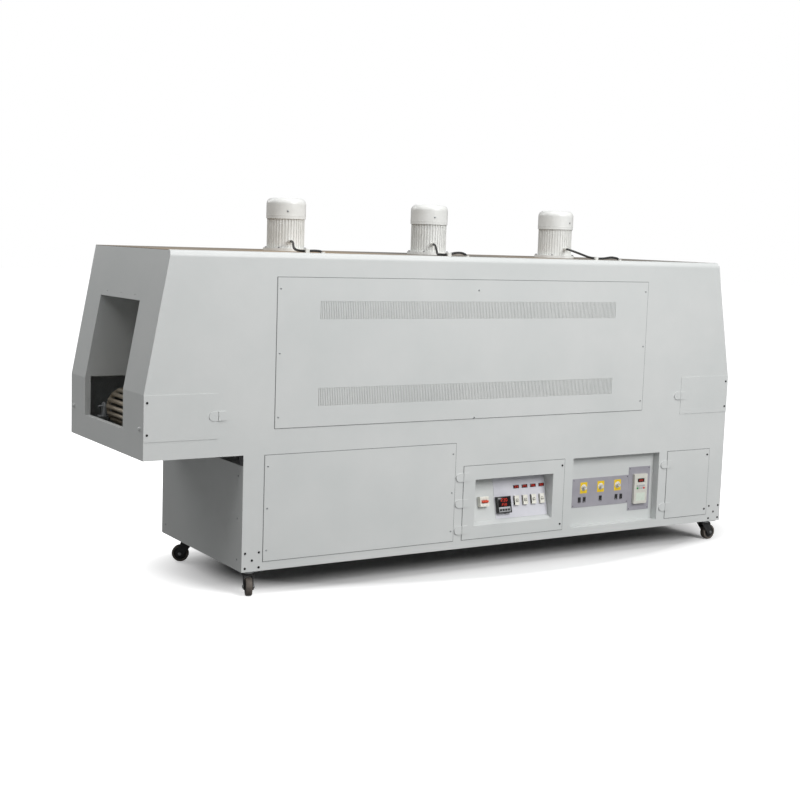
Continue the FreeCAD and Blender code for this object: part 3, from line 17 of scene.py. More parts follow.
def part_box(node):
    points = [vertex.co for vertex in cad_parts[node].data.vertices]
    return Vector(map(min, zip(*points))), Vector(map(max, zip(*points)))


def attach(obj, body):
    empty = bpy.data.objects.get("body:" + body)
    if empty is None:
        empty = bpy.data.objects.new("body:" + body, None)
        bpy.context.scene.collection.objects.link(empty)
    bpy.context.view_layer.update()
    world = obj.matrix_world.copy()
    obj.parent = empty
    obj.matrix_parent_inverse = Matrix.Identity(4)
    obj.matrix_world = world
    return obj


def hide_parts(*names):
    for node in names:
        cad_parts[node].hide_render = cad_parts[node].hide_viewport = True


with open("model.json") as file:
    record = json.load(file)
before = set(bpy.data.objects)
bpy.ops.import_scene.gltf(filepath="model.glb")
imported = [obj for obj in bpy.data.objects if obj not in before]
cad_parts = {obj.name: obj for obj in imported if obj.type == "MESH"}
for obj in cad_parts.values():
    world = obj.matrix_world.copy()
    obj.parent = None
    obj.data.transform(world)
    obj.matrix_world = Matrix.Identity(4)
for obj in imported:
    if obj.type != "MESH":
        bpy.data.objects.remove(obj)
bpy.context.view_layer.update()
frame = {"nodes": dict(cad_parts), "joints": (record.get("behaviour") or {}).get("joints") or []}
nodes = frame["nodes"]
joints = {joint["name"]: joint for joint in frame["joints"]}
MM = 0.001

# %% [markdown]
# ## Small tools
# A colour is written the way a paint card gives it, as sRGB hex, and turned to the linear values that a
# shader works in. One function adds a node with its settings and links. A pattern is stated by its real size
# in millimetres, and since the coordinates are in metres its scale is a thousand over that size.


# %% Colour, nodes and pattern sizes
def linear(hex_colour):
    """Linear RGBA of an sRGB hex colour."""
    channels = [int(hex_colour[i:i + 2], 16) / 255 for i in (1, 3, 5)]
    return *(c / 12.92 if c <= 0.04045 else ((c + 0.055) / 1.055) ** 2.4 for c in channels), 1.0


def add_node(tree, kind, inputs=None, **settings):
    """Adds a node: settings are its properties, inputs the values or sockets that its own sockets take."""
    node = tree.nodes.new(kind)
    for name, setting in settings.items():
        setattr(node, name, setting)
    for name, source in (inputs or {}).items():
        if isinstance(source, bpy.types.NodeSocket):
            tree.links.new(source, node.inputs[name])
        else:
            node.inputs[name].default_value = source
    return node


def per_mm(size):
    """Pattern scale whose features are about this many millimetres across."""
    return 1 / (size * MM)


def new_material(name, **values):
    """A material with its shader's plain sockets set, with its tree, its shader and its coordinates."""
    material = bpy.data.materials.new(name)
    material.use_nodes = True
    tree = material.node_tree
    shader = tree.nodes["Principled BSDF"]
    for socket, number in values.items():
        shader.inputs[socket.replace("_", " ")].default_value = number
    places = add_node(tree, "ShaderNodeTexCoord").outputs["Object"]
    return material, tree, shader, places


# %% [markdown]
# ## Finishes
# Most of the oven is one finish: powder coat, a thermoset paint baked onto the sheet. It has a faint orange-
# peel relief, a satin gloss and, on a large panel, slow changes of tone from handling and dust. The same
# three layers, tone, gloss and relief, describe the cast, moulded and plated surfaces too, so one function
# lays them, and each finish gives it its own colours and sizes.

# %% Tone, gloss and relief
# Detail and roughness of the two noises, and the noise values between which tone and gloss change over.
PATCH_NOISE, PATCH_EDGES = {"Detail": 4.0, "Roughness": 0.6}, {"From Min": 0.35, "From Max": 0.65}
GRAIN_NOISE, GRAIN_EDGES = {"Detail": 3.0, "Roughness": 0.55}, {"From Min": 0.3, "From Max": 0.7}
RELIEF_STRENGTH = 0.5


def layered(name, tones, patch, grain, gloss, relief=0.0, places_stretch=None, **values):
    """Two tones in patches, gloss between two roughness values, relief in grains; patch and grain in mm."""
    material, tree, shader, places = new_material(name, **values)
    if places_stretch:
        stretched = add_node(tree, "ShaderNodeMapping", {"Vector": places, "Scale": places_stretch})
        places = stretched.outputs["Vector"]
    patches = add_node(
        tree, "ShaderNodeTexNoise", {"Vector": places, "Scale": per_mm(patch), **PATCH_NOISE}
    ).outputs["Fac"]
    tone = add_node(tree, "ShaderNodeMapRange", {"Value": patches, **PATCH_EDGES}).outputs["Result"]
    colour = add_node(
        tree, "ShaderNodeMix", {0: tone, 6: linear(tones[0]), 7: linear(tones[1])}, data_type="RGBA"
    )
    tree.links.new(colour.outputs[2], shader.inputs["Base Color"])
    grains = add_node(
        tree, "ShaderNodeTexNoise", {"Vector": places, "Scale": per_mm(grain), **GRAIN_NOISE}
    ).outputs["Fac"]
    rough = add_node(
        tree, "ShaderNodeMapRange", {"Value": grains, **GRAIN_EDGES, "To Min": gloss[0], "To Max": gloss[1]}
    )
    tree.links.new(rough.outputs["Result"], shader.inputs["Roughness"])
    if relief:
        heights = {"Height": grains, "Strength": RELIEF_STRENGTH, "Distance": relief * MM}
        bump = add_node(tree, "ShaderNodeBump", heights)
        tree.links.new(bump.outputs["Normal"], shader.inputs["Normal"])
    return material


# %% [markdown]
# Paints come first. The body's light grey was matched to the lit front, the motors are whiter and glossier,
# and what is hidden or hot is duller. A paint is a dielectric, so its gloss comes from an IOR of about 1.5.

# %% Paints
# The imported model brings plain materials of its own, which the counts leave out.
packed_slots = len(bpy.data.materials)
# Baked powder coat: orange peel is about 2 mm across, drawn at 7 mm so that it shows from a few metres.
powder_coat = layered("powder_coat_light_grey", ("#d3d5d4", "#cdd0cf"), 420, 7, (0.36, 0.48), 0.05, IOR=1.5)
# The roof's dark grey is a painted reflection, standing in for the dark surroundings that it mirrors at a
# grazing view. It is tanned by heat in broad patches.
roof_painted_reflection_tanned = layered("roof_dark_painted_reflection_heat_tanned", ("#757471", "#a28d74"), 900, 9, (0.5, 0.72), 0.05, IOR=1.5)
# The channels of the frame are brush-painted: dull and a little streaky.
frame_paint = layered("frame_paint_grey", ("#5c5e60", "#4a4c4e"), 60, 5, (0.5, 0.7), 0.08, IOR=1.5)
# Enamel on the castings and pressed cowls of the motors: whiter and glossier than the sheet.
motor_enamel = layered("motor_enamel_white", ("#e9eae8", "#e1e2df"), 70, 4, (0.25, 0.4), 0.06, IOR=1.5)
# Grey hammered paint on the bearing housings and the gearmotor.
casting_paint = layered("casting_paint_grey", ("#a4a7a8", "#919495"), 25, 3, (0.4, 0.6), 0.15, IOR=1.5)
# Black paint on pressed caster forks, worn thin in places.
fork_paint = layered("fork_paint_black", ("#232324", "#343434"), 14, 2, (0.35, 0.6), 0.05, IOR=1.5)
print("finishes after the paints", len(bpy.data.materials) - packed_slots)

# %% [markdown]
# Bare and plated metals follow. They keep the default IOR, since a metal's reflection comes from its colour.
# The rods and the blackened screws are only partly metallic, because a film covers them.

# %% Metals
# Drawn steel rods, straw-tinted by the heat of the tunnel.
tinted_rods = layered("drawn_steel_straw", ("#c3bbab", "#a79d8b"), 35, 3, (0.35, 0.6), 0.05,
                      places_stretch=(1.0, 0.1, 1.0), Metallic=0.55)
# Pressed aluminium of the blower wheels.
pressed_aluminium = layered("pressed_aluminium", ("#c9cbcc", "#b3b6b8"), 40, 3, (0.3, 0.5), 0.04,
                            Metallic=1.0)
# Turned steel of the shafts and heater sheaths, with lathe marks that run round them.
turned_steel = layered("turned_steel", ("#a9aaab", "#8f9193"), 30, 2, (0.25, 0.42), 0.03,
                       places_stretch=(1.0, 4.0, 1.0), Metallic=1.0)
# Black oxide on screws: a thin, slightly oily film over steel.
black_oxide = layered("black_oxide_steel", ("#2b2b2c", "#1c1c1d"), 6, 1, (0.32, 0.5), 0.02, Metallic=0.8)
# Zinc-plated screw heads and nuts.
zinc_plate = layered("zinc_plated_steel", ("#b9bbbc", "#9c9fa1"), 9, 1.5, (0.28, 0.45), 0.02, Metallic=1.0)
print("finishes after the metals", len(bpy.data.materials) - packed_slots)

# %% [markdown]
# Rubber, plastics and board differ mostly in gloss: a tyre and a foam strip scatter light, a breaker's resin
# is nearly polished. Moulded parts carry the fine spark texture of their tool.

# %% Rubber, plastics and board
# Solid rubber tyres, greyed by the floor's dust.
tyre_rubber = layered("solid_rubber_dusty", ("#6d655e", "#544e49"), 18, 2, (0.65, 0.85), 0.12, IOR=1.52)
# Moulded black ABS: fine spark texture, drawn at 1 mm.
black_abs = layered("moulded_abs_black", ("#1d1d1e", "#262627"), 20, 1, (0.38, 0.55), 0.03, IOR=1.53)
# Moulded light ABS of the knobs.
light_abs = layered("moulded_abs_light", ("#d9d8d2", "#cfcec7"), 25, 1, (0.3, 0.45), 0.03, IOR=1.53)
# Urea resin of breakers: creamy white and glossy.
cream_resin = layered("urea_resin_cream", ("#efeee6", "#e7e5da"), 22, 1, (0.22, 0.36), 0.02, IOR=1.55)
red_resin = layered("urea_resin_red", ("#e0502f", "#cc4024"), 14, 1, (0.25, 0.4), 0.02, IOR=1.55)
# Beige-grey ABS housing of the inverter.
beige_abs = layered("moulded_abs_beige", ("#dbdad2", "#d2d1c8"), 30, 1, (0.35, 0.5), 0.03, IOR=1.53)
# Nylon of clips, glands and the brake pedal.
white_nylon = layered("moulded_nylon_white", ("#e4e4e0", "#d8d8d3"), 12, 1, (0.35, 0.5), 0.03, IOR=1.53)
# Rubber sheath of the motor leads.
cable_rubber = layered("rubber_sheath_black", ("#1b1b1b", "#272727"), 12, 1.5, (0.5, 0.68), 0.05, IOR=1.52)
# Closed-cell grey foam of the seals and the rear's sealant beads. Round the covers and doors it is
# painted shadow: a thin line that stands in for the shade at their edges.
sealant_and_shadow_line = layered("sealant_grey_and_painted_shadow_line", ("#7f8182", "#6f7172"), 8, 1, (0.7, 0.85), 0.1, IOR=1.45)
# A matt, almost white board behind the vent slots is painted light:
# the slots show it instead of the dark inside.
slot_light_board = layered("pale_board_painted_slot_light", ("#f4f4f1", "#eae9e5"), 25, 2, (0.85, 0.95), 0.15, IOR=1.4)
print("finishes after rubber, plastics and board", len(bpy.data.materials) - packed_slots)

# %% [markdown]
# The instruments are printed films and tinted windows: flat colour in thin ink, with hardly any relief. A
# display window is dark and glossy enough to mirror the room.

# %% Plates, prints, keys and windows
# Printed and coated aluminium plates behind the controls.
white_plate = layered("coated_plate_white", ("#d8d8de", "#d0d0d7"), 90, 2, (0.3, 0.42), 0.01, IOR=1.5)
grey_plate = layered("coated_plate_grey", ("#a6a4ab", "#9c9aa2"), 90, 2, (0.34, 0.46), 0.01, IOR=1.5)
# Screen-printed ink and label film, smooth to the eye.
yellow_print = layered("screen_print_yellow", ("#f2cf2e", "#e8c221"), 20, 2, (0.35, 0.45), IOR=1.5)
white_print = layered("screen_print_white", ("#f4f4f0", "#ebebe6"), 20, 2, (0.35, 0.45), IOR=1.5)
pale_label = layered("label_film_pale_green", ("#d9e2d6", "#d0dacd"), 20, 2, (0.3, 0.4), IOR=1.5)
# Embossed keys of a membrane keypad.
key_grey = layered("membrane_key_grey", ("#b7b9bb", "#a9abae"), 10, 1, (0.4, 0.5), 0.02, IOR=1.5)
key_green = layered("membrane_key_green", ("#3d9a58", "#348a4d"), 10, 1, (0.4, 0.5), 0.02, IOR=1.5)
key_red = layered("membrane_key_red", ("#d03a35", "#bd312c"), 10, 1, (0.4, 0.5), 0.02, IOR=1.5)
# Tinted acrylic over the displays.
dark_acrylic = layered("tinted_acrylic_dark", ("#171214", "#1d1618"), 30, 4, (0.08, 0.14), IOR=1.49)
red_acrylic = layered("tinted_acrylic_red", ("#5d0f12", "#4b0b0e"), 30, 4, (0.1, 0.16), IOR=1.49)
print("finishes after plates and windows", len(bpy.data.materials) - packed_slots)

# %% [markdown]
# Two finishes need something of their own. Hot-dip galvanising freezes into crystals about a centimetre
# across, and each one mirrors the light at its own angle, so cells with their own grey and gloss stand for
# them. A lit display segment is the only thing on the oven that glows.

# %% Galvanised sheet and lit segments
SPANGLE = 12
SPANGLE_GLOSS = {"To Min": 0.36, "To Max": 0.56}
LED_GLOW = 0.22
galvanised_sheet, tree, shader, places = new_material("galvanised_sheet", Metallic=1.0)
cells = add_node(tree, "ShaderNodeTexVoronoi", {"Vector": places, "Scale": per_mm(SPANGLE)})
grey = add_node(tree, "ShaderNodeSeparateColor", {"Color": cells.outputs["Color"]}).outputs["Red"]
colour = add_node(
    tree, "ShaderNodeMix", {0: grey, 6: linear("#9ea1a3"), 7: linear("#b8babb")}, data_type="RGBA"
)
tree.links.new(colour.outputs[2], shader.inputs["Base Color"])
rough = add_node(tree, "ShaderNodeMapRange", {"Value": grey, **SPANGLE_GLOSS})
tree.links.new(rough.outputs["Result"], shader.inputs["Roughness"])

led_red, _, shader, _ = new_material("led_segment_red", Roughness=0.3, Emission_Strength=LED_GLOW)
shader.inputs["Base Color"].default_value = linear("#e8402c")
shader.inputs["Emission Color"].default_value = linear("#ff4a30")
print("finishes in all", len(bpy.data.materials) - packed_slots)

# %% [markdown]
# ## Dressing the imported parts
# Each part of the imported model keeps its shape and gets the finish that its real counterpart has. The
# tunnel's lining and the inside of the niche are coated like the outside.

# %% A finish for each part
FINISHES = {
    powder_coat: (
        "front_skin rear_skin infeed_hood outfeed_hood cabinet_end_panel vent_panel lower_cover infeed_door "
        "outfeed_door control_door service_door hinge_leaves inverter_niche oven_liner"
    ),
    roof_painted_reflection_tanned: "roof_sheet",
    frame_paint: "base_frame",
    galvanised_sheet: "tunnel_floor conveyor_rails caster_plates",
    turned_steel: "heater_elements drive_shaft idler_shaft",
    tinted_rods: "slat_belt",
    casting_paint: "bearing_blocks drive_gearmotor",
    motor_enamel: "motor_bodies motor_cowls",
    pressed_aluminium: "blower_1 blower_2 blower_3",
    black_oxide: "panel_screws",
    grey_plate: "niche_plates",
    white_plate: "control_plate",
    beige_abs: "inverter",
    cable_rubber: "motor_leads",
    white_nylon: "lead_fittings brake_pedal",
    black_abs: "panel_meters rocker_1 rocker_2 rocker_3 rocker_4 rocker_5",
    light_abs: "fan_knob_1 fan_knob_2 fan_knob_3",
    cream_resin: "breaker_bodies heater_lever_1 heater_lever_2 heater_lever_3 heater_lever_4",
    red_resin: "breaker_lever",
    fork_paint: "caster_fork_1 caster_fork_2 caster_fork_3 caster_fork_4",
    tyre_rubber: "caster_wheel_1 caster_wheel_2 caster_wheel_3 caster_wheel_4",
}
for finish, names in FINISHES.items():
    for name in names.split():
        mesh = nodes[name].data
        mesh.materials.clear()
        mesh.materials.append(finish)
print("dressed", sum(len(names.split()) for names in FINISHES.values()))

# %% [markdown]
# ## Shapes for the small parts
# Small parts are built with bmesh in a flat frame of their own, x to the right, y up and z out of the panel,
# and then set on the panel that carries them. A part's edges are rounded, because a perfectly sharp edge
# catches no light.


# %% Places
def facing(point, lean=0.0):
    """Places a flat frame on the front of a panel that leans back by an angle: x right, y up, z outwards."""
    sine, cosine = math.sin(lean), math.cos(lean)
    turn = Matrix(((1, 0, 0), (0, sine, -cosine), (0, cosine, sine))).to_4x4()
    return Matrix.Translation(point) @ turn


def along(point, axis):
    """Places a frame whose z runs along an axis."""
    return Matrix.Translation(point) @ Vector(axis).to_track_quat("Z", "Y").to_matrix().to_4x4()


def middle(name):
    """The middle of a node's box."""
    low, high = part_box(name)
    return (low + high) / 2


print("middle of the roof", [round(v, 3) for v in middle("roof_sheet")])

# %% [markdown]
# Three shapes are enough for most small parts: a block, a frame of four blocks and a turned profile. Several
# of them can be merged into one mesh, so that a row of keys or a set of screws is one piece.

# %% Builders
EDGE_STEPS, EDGE_PROFILE = 2, 0.6
WELD = 1e-6
CREASE = math.radians(35)


def merge(target, part, place):
    """Adds one shape to a larger one, at its place."""
    part.transform(place)
    mesh = bpy.data.meshes.new("part")
    part.to_mesh(mesh)
    part.free()
    target.from_mesh(mesh)
    bpy.data.meshes.remove(mesh)


def add_block(target, low, high, edge, place):
    """A block in millimetres with rounded edges."""
    part = bmesh.new()
    bmesh.ops.create_cube(part, size=1)
    low, high = Vector(low) * MM, Vector(high) * MM
    size = high - low
    part.transform(Matrix.Translation((low + high) / 2) @ Matrix.Diagonal((*size, 1)))
    if edge:
        bmesh.ops.bevel(part, geom=part.edges[:], offset=edge * MM, segments=EDGE_STEPS, affect="EDGES",
                        profile=EDGE_PROFILE)
    merge(target, part, place)


def add_frame(target, low, high, border, depth, edge, place):
    """A rectangular frame from four butted bars, in millimetres; low and high are its outer corners."""
    (x0, y0), (x1, y1) = low, high
    bars = (
        ((x0, y0), (x1, y0 + border)), ((x0, y1 - border), (x1, y1)),
        ((x0, y0 + border), (x0 + border, y1 - border)), ((x1 - border, y0 + border), (x1, y1 - border)),
    )
    for start, end in bars:
        add_block(target, (*start, depth[0]), (*end, depth[1]), edge, place)


def add_turned(target, profile, place, steps):
    """A turned shape from (radius, height) points in mm, closed on its axis where the radius is 0."""
    part = bmesh.new()
    chain = [part.verts.new((radius * MM, 0, height * MM)) for radius, height in profile]
    edges = [part.edges.new(pair) for pair in zip(chain, chain[1:])]
    bmesh.ops.spin(part, geom=chain + edges, axis=(0, 0, 1), cent=(0, 0, 0), angle=math.tau, steps=steps)
    bmesh.ops.remove_doubles(part, verts=part.verts[:], dist=WELD)
    bmesh.ops.recalc_face_normals(part, faces=part.faces[:])
    merge(target, part, place)


def piece(name, shape, finish, body, smooth=True):
    """Makes an object of a shape, gives it its finish and sets it on a body."""
    mesh = bpy.data.meshes.new(name)
    shape.to_mesh(mesh)
    shape.free()
    mesh.materials.append(finish)
    thing = bpy.data.objects.new(name, mesh)
    bpy.context.scene.collection.objects.link(thing)
    if smooth:
        mesh.shade_smooth()
        mesh.set_sharp_from_angle(angle=CREASE)
    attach(thing, body)
    return thing


# %% [markdown]
# ## Screws
# The covers are held by pan-head screws with a cross recess. A head is made with a boolean and copied to
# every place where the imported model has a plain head. Loose parts of a node are told apart by walking over
# its edges.


# %% Loose parts
def loose_parts(name, view=Matrix()):
    """Lowest and highest corner of every separate solid of a node, as seen in a frame, from the left."""
    shape = bmesh.new()
    shape.from_mesh(nodes[name].data)
    bmesh.ops.remove_doubles(shape, verts=shape.verts[:], dist=WELD)
    unseen, boxes = set(shape.verts), []
    while unseen:
        front, found = [unseen.pop()], []
        while front:
            vert = front.pop()
            found.append(view @ vert.co)
            for edge in vert.link_edges:
                other = edge.other_vert(vert)
                if other in unseen:
                    unseen.discard(other)
                    front.append(other)
        boxes.append([Vector(pick(co[i] for co in found) for i in range(3)) for pick in (min, max)])
    shape.free()
    return sorted(boxes, key=lambda box: tuple(box[0]))


screw_boxes = loose_parts("panel_screws")
print("cover screws and corner bolts", len(screw_boxes))

# %% [markdown]
# A head is a turned dome with a cross cut into it. The doors' heads are taller, because they cap the plain
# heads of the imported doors, which stay under them.

# %% Screw heads
# Profile of a head, as shares of its radius and height, and the cross, as shares of its radius.
HEAD_DOME = ((0, 0), (1, 0), (1, 0.35), (0.86, 0.75), (0.5, 1), (0, 1))
HEAD_STEPS = 20
CROSS_REACH, CROSS_WIDTH = 0.62, 0.15


def cross_head(radius, height, floor_share):
    """A domed head on a flat base, in millimetres, with a cross recess down to a share of its height."""
    head, cross = bmesh.new(), bmesh.new()
    add_turned(head, [(radius * out, height * up) for out, up in HEAD_DOME], Matrix(), HEAD_STEPS)
    reach, width, floor = radius * CROSS_REACH, radius * CROSS_WIDTH, height * floor_share
    add_block(cross, (-reach, -width, floor), (reach, width, 2 * height), 0, Matrix())
    add_block(cross, (-width, -reach, floor), (width, reach, 2 * height), 0, Matrix())
    things = []
    for shape in (head, cross):
        mesh = bpy.data.meshes.new("cutter")
        shape.to_mesh(mesh)
        shape.free()
        things.append(bpy.data.objects.new("cutter", mesh))
        bpy.context.scene.collection.objects.link(things[-1])
    cutting = things[0].modifiers.new("recess", "BOOLEAN")
    cutting.operation = "DIFFERENCE"
    cutting.object = things[1]
    cutting.use_self = True
    view = bpy.context.evaluated_depsgraph_get()
    mesh = bpy.data.meshes.new_from_object(things[0].evaluated_get(view))
    for thing in things:
        bpy.data.objects.remove(thing)
    return mesh


SCREW_RADIUS = 4.3
screw_mesh = cross_head(radius=SCREW_RADIUS, height=2.2, floor_share=0.45)
cap_mesh = cross_head(radius=4.7, height=3.4, floor_share=0.78)
print("faces of a screw head", len(screw_mesh.polygons))

# %% [markdown]
# The small heads of the covers are zinc-plated, and the five larger bolts at each lower corner are black.
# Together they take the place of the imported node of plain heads. A door's heads ride on the door.


# %% Screws of covers and doors
def add_screws(target, places, size=1.0, head=screw_mesh):
    """Copies a head to each place, at a share of its size."""
    for place in places:
        part = bmesh.new()
        part.from_mesh(head)
        merge(target, part, place @ Matrix.Scale(size, 4))


def head_place(low, high):
    """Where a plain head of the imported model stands, and which way it faces."""
    centre, size = (low + high) / 2, high - low
    if size.x < size.y:
        return along((high.x, centre.y, centre.z), (-1, 0, 0))
    return along((centre.x, high.y, centre.z), (0, -1, 0))


# A solid of a door that is narrower than this is one of its screw heads.
HEAD_LIMIT = 4 * SCREW_RADIUS
plated, blackened = bmesh.new(), bmesh.new()
for box in screw_boxes:
    radius = (box[1] - box[0]).z / 2 / MM
    target = blackened if radius > SCREW_RADIUS else plated
    add_screws(target, [head_place(*box)], radius / SCREW_RADIUS)
cover_screws = piece("cover_screws", plated, zinc_plate, "oven")
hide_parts("panel_screws")
piece("corner_bolts", blackened, black_oxide, "oven")
for door in ("infeed_door", "outfeed_door", "control_door", "service_door"):
    small = [box for box in loose_parts(door) if (box[1] - box[0]).x < HEAD_LIMIT * MM]
    heads = bmesh.new()
    add_screws(heads, [head_place(*box) for box in small], head=cap_mesh)
    piece(door + "_screws", heads, black_oxide, door)
    print(door, "screws", len(small))

# %% [markdown]
# ## Painted shadow lines round the covers
# A strip of grey foam is drawn round each cover and door. Only a line of it shows round the sheet: it is
# painted shadow, standing in for the shade at the sheet's edge. That line is what sets the covers and doors
# off from the body.

# %% Foam strips as painted shadow lines
STRIP_WIDTH, STRIP_DEPTH, STRIP_GAP, STRIP_EDGE = 2.2, 1.2, 0.1, 0.3
COVER_SHEET, SHEET_PLAY = 2, 0.05
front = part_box("front_skin")[0].y
# Each cover and door gets a grey strip round its sheet: painted shadow, standing in for the shade line at its
# edge.
for cover in ("vent_panel", "lower_cover", "control_door", "service_door"):
    places = [v.co for v in nodes[cover].data.vertices]
    sheet = [co for co in places if abs(co.y - front + COVER_SHEET * MM) < SHEET_PLAY * MM]
    left, right = min(co.x for co in sheet), max(co.x for co in sheet)
    low, high = min(co.z for co in sheet), max(co.z for co in sheet)
    reach = STRIP_GAP + STRIP_WIDTH
    corner, far_corner = (-reach, -reach), ((right - left) / MM + reach, (high - low) / MM + reach)
    strip = bmesh.new()
    place = facing((left, front, low))
    add_frame(strip, corner, far_corner, STRIP_WIDTH, (0, STRIP_DEPTH), STRIP_EDGE, place)
    piece(cover + "_painted_shadow_line", strip, sealant_and_shadow_line, "oven")
    print(cover, "seal", [round(v) for v in far_corner])

# %% [markdown]
# ## Behind the vent slots
# A pale board stands just behind each row of slots as painted light. It is what the eye meets in a slot, so
# the rows look light instead of dark. The rows' places are read from the imported panel's corners.

# %% Pale boards as painted light behind the slots
BACKING_GAP, BACKING_MARGIN, BACKING_DEPTH, BACKING_EDGE = 0.5, 3, 4, 0.5
grille = [v.co for v in nodes["vent_panel"].data.vertices]
columns = sorted({round(co.x, 5) for co in grille})
rows = sorted({round(co.z, 5) for co in grille})
back = max(co.y for co in grille) + BACKING_GAP * MM
slot_light_boards = bmesh.new()
for low, high in (rows[1:3], rows[3:5]):
    corner = (-BACKING_MARGIN, -BACKING_MARGIN, -BACKING_DEPTH)
    far_corner = (columns[-2] - columns[1]) / MM + BACKING_MARGIN, (high - low) / MM + BACKING_MARGIN, 0
    add_block(slot_light_boards, corner, far_corner, BACKING_EDGE, facing((columns[1], back, low)))
# The boards are painted light: a slot shows pale board instead of the dark inside.
piece("vent_slot_painted_light", slot_light_boards, slot_light_board, "oven")
print("baffles", round((columns[-2] - columns[1]) / MM), "mm long, at", [round(z, 3) for z in rows])

# %% [markdown]
# ## The rear
# The photograph doesn't show the rear. A wall this long is usually screwed on in sheets, so two beads of
# sealant mark the joints, with screws down both sides of a joint and along the foot and the top.

# %% Rear sheets
REAR_SHEETS, REAR_MARGIN, REAR_PITCH = 3, 28, 190
margin = REAR_MARGIN * MM
low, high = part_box("rear_skin")
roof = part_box("roof_sheet")
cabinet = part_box("cabinet_end_panel")[0].x
rear_joints = [cabinet + (high.x - cabinet) * k / REAR_SHEETS for k in range(1, REAR_SHEETS)]


def spread(start, end):
    """Evenly spaced places between two ends, about a pitch apart, the ends among them."""
    count = round((end - start) / (REAR_PITCH * MM))
    return [start + (end - start) * k / count for k in range(count + 1)]


spots = []
for height, left, right in ((low.z + margin, cabinet, high.x), (high.z - margin, roof[0].x, roof[1].x)):
    edges = [left, *rear_joints, right]
    for start, end in zip(edges, edges[1:]):
        spots += [(x, height) for x in spread(start + margin, end - margin)]
beads = bmesh.new()
outwards = Matrix.Rotation(math.pi, 4, "Z") @ facing((0, 0, 0))
for joint in rear_joints:
    for side in (joint - margin, joint + margin):
        spots += [(side, z) for z in spread(low.z + margin, high.z - margin)[1:-1]]
    bead = STRIP_WIDTH / 2, (high.z - low.z) / MM, STRIP_DEPTH
    place = Matrix.Translation((joint, high.y, low.z)) @ outwards
    add_block(beads, (-STRIP_WIDTH / 2, 0, 0), bead, STRIP_EDGE, place)
heads = bmesh.new()
add_screws(heads, [along((x, high.y, z), (0, 1, 0)) for x, z in spots])
piece("rear_screws", heads, zinc_plate, "oven")
piece("rear_beads", beads, sealant_and_shadow_line, "oven")

# %% [markdown]
# ## The control recess
# On the sloping plate sit a temperature controller, four meters and four heater switches, with the main
# breaker beside it. A display is a tinted window with seven-segment digits, so a digit is built from its lit
# bars. They lie on the window, which is opaque here. The plate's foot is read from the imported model, and its
# lean is the recess's run over its rise.

# %% Displays
RECESS_RUN, RECESS_RISE, PLATE_THICK = 46, 198, 1.5
lean = math.atan2(RECESS_RUN, RECESS_RISE)
plate_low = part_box("control_plate")[0]
foot = Vector((plate_low.x, plate_low.y, plate_low.z + PLATE_THICK * MM * math.sin(lean)))
control = facing(foot, lean)
to_plate = Matrix.Scale(1 / MM, 4) @ control.inverted()
SEGMENTS = {"0": "abcdef", "2": "abged", "3": "abgcd", "5": "afgcd", "6": "afgedc"}
# Width of a lit bar and gap between digits, as shares of a digit's width, and how far a bar stands out.
BAR_SHARE, GAP_SHARE, BAR_PROUD = 0.16, 0.45, 0.25


def add_digits(target, text, left, foot_line, width, height, depth, place):
    """Lit bars of seven-segment digits, in millimetres, from the left."""
    bar = width * BAR_SHARE
    gap = width * GAP_SHARE
    half = height / 2
    for i, digit in enumerate(text):
        x, y = left + i * (width + gap), foot_line
        bars = {
            "a": ((x + bar, y + height - bar), (x + width - bar, y + height)),
            "d": ((x + bar, y), (x + width - bar, y + bar)),
            "g": ((x + bar, y + half - bar / 2), (x + width - bar, y + half + bar / 2)),
            "b": ((x + width - bar, y + half), (x + width, y + height - bar / 2)),
            "c": ((x + width - bar, y + bar / 2), (x + width, y + half)),
            "f": ((x, y + half), (x + bar, y + height - bar / 2)),
            "e": ((x, y + bar / 2), (x + bar, y + half)),
        }
        for segment in SEGMENTS[digit]:
            start, end = bars[segment]
            add_block(target, (*start, depth), (*end, depth + BAR_PROUD), 0, place)


print("plate leans back", round(math.degrees(lean), 1), "degrees")

# %% [markdown]
# The controller is a moulded case with a proud rim round its face. The upper part is a window with the
# measured and the set temperature, and the lower part a keypad with four keys.

# %% The temperature controller
RIM, RIM_SINK, RIM_PROUD, RIM_EDGE = 5, 2, 2.2, 0.8
WINDOW_FOOT, WINDOW_PROUD, WINDOW_EDGE = 30, 0.8, 0.2
# Each row of digits: text, left, foot, width and height.
CONTROLLER_ROWS = (("230", 20, 53, 9, 14), ("250", 23, 34, 7, 11))
PAD_INSET, PAD_HEAD, PAD_PROUD, PAD_EDGE = 6, 28, 0.9, 0.3
KEY_COUNT, KEY_LEFT, KEY_PITCH, KEY_WIDTH, KEY_EDGE = 4, 9, 15, 12, 0.5
KEY_FOOT, KEY_HEAD, KEY_BASE, KEY_PROUD = 10, 20, 0.7, 1.7
(low, high), *meter_boxes = loose_parts("panel_meters", to_plate)
x0, y0, x1, y1, face = low.x, low.y, high.x, high.y, high.z
rim, window, digits, pad, keys = (bmesh.new() for _ in range(5))
add_frame(rim, (x0, y0), (x1, y1), RIM, (face - RIM_SINK, face + RIM_PROUD), RIM_EDGE, control)
add_block(window, (x0 + RIM, y0 + WINDOW_FOOT, face), (x1 - RIM, y1 - RIM, face + WINDOW_PROUD), WINDOW_EDGE,
          control)
for text, left, bottom, width, height in CONTROLLER_ROWS:
    add_digits(digits, text, x0 + left, y0 + bottom, width, height, face + WINDOW_PROUD, control)
add_block(pad, (x0 + PAD_INSET, y0 + PAD_INSET, face), (x1 - PAD_INSET, y0 + PAD_HEAD, face + PAD_PROUD),
          PAD_EDGE, control)
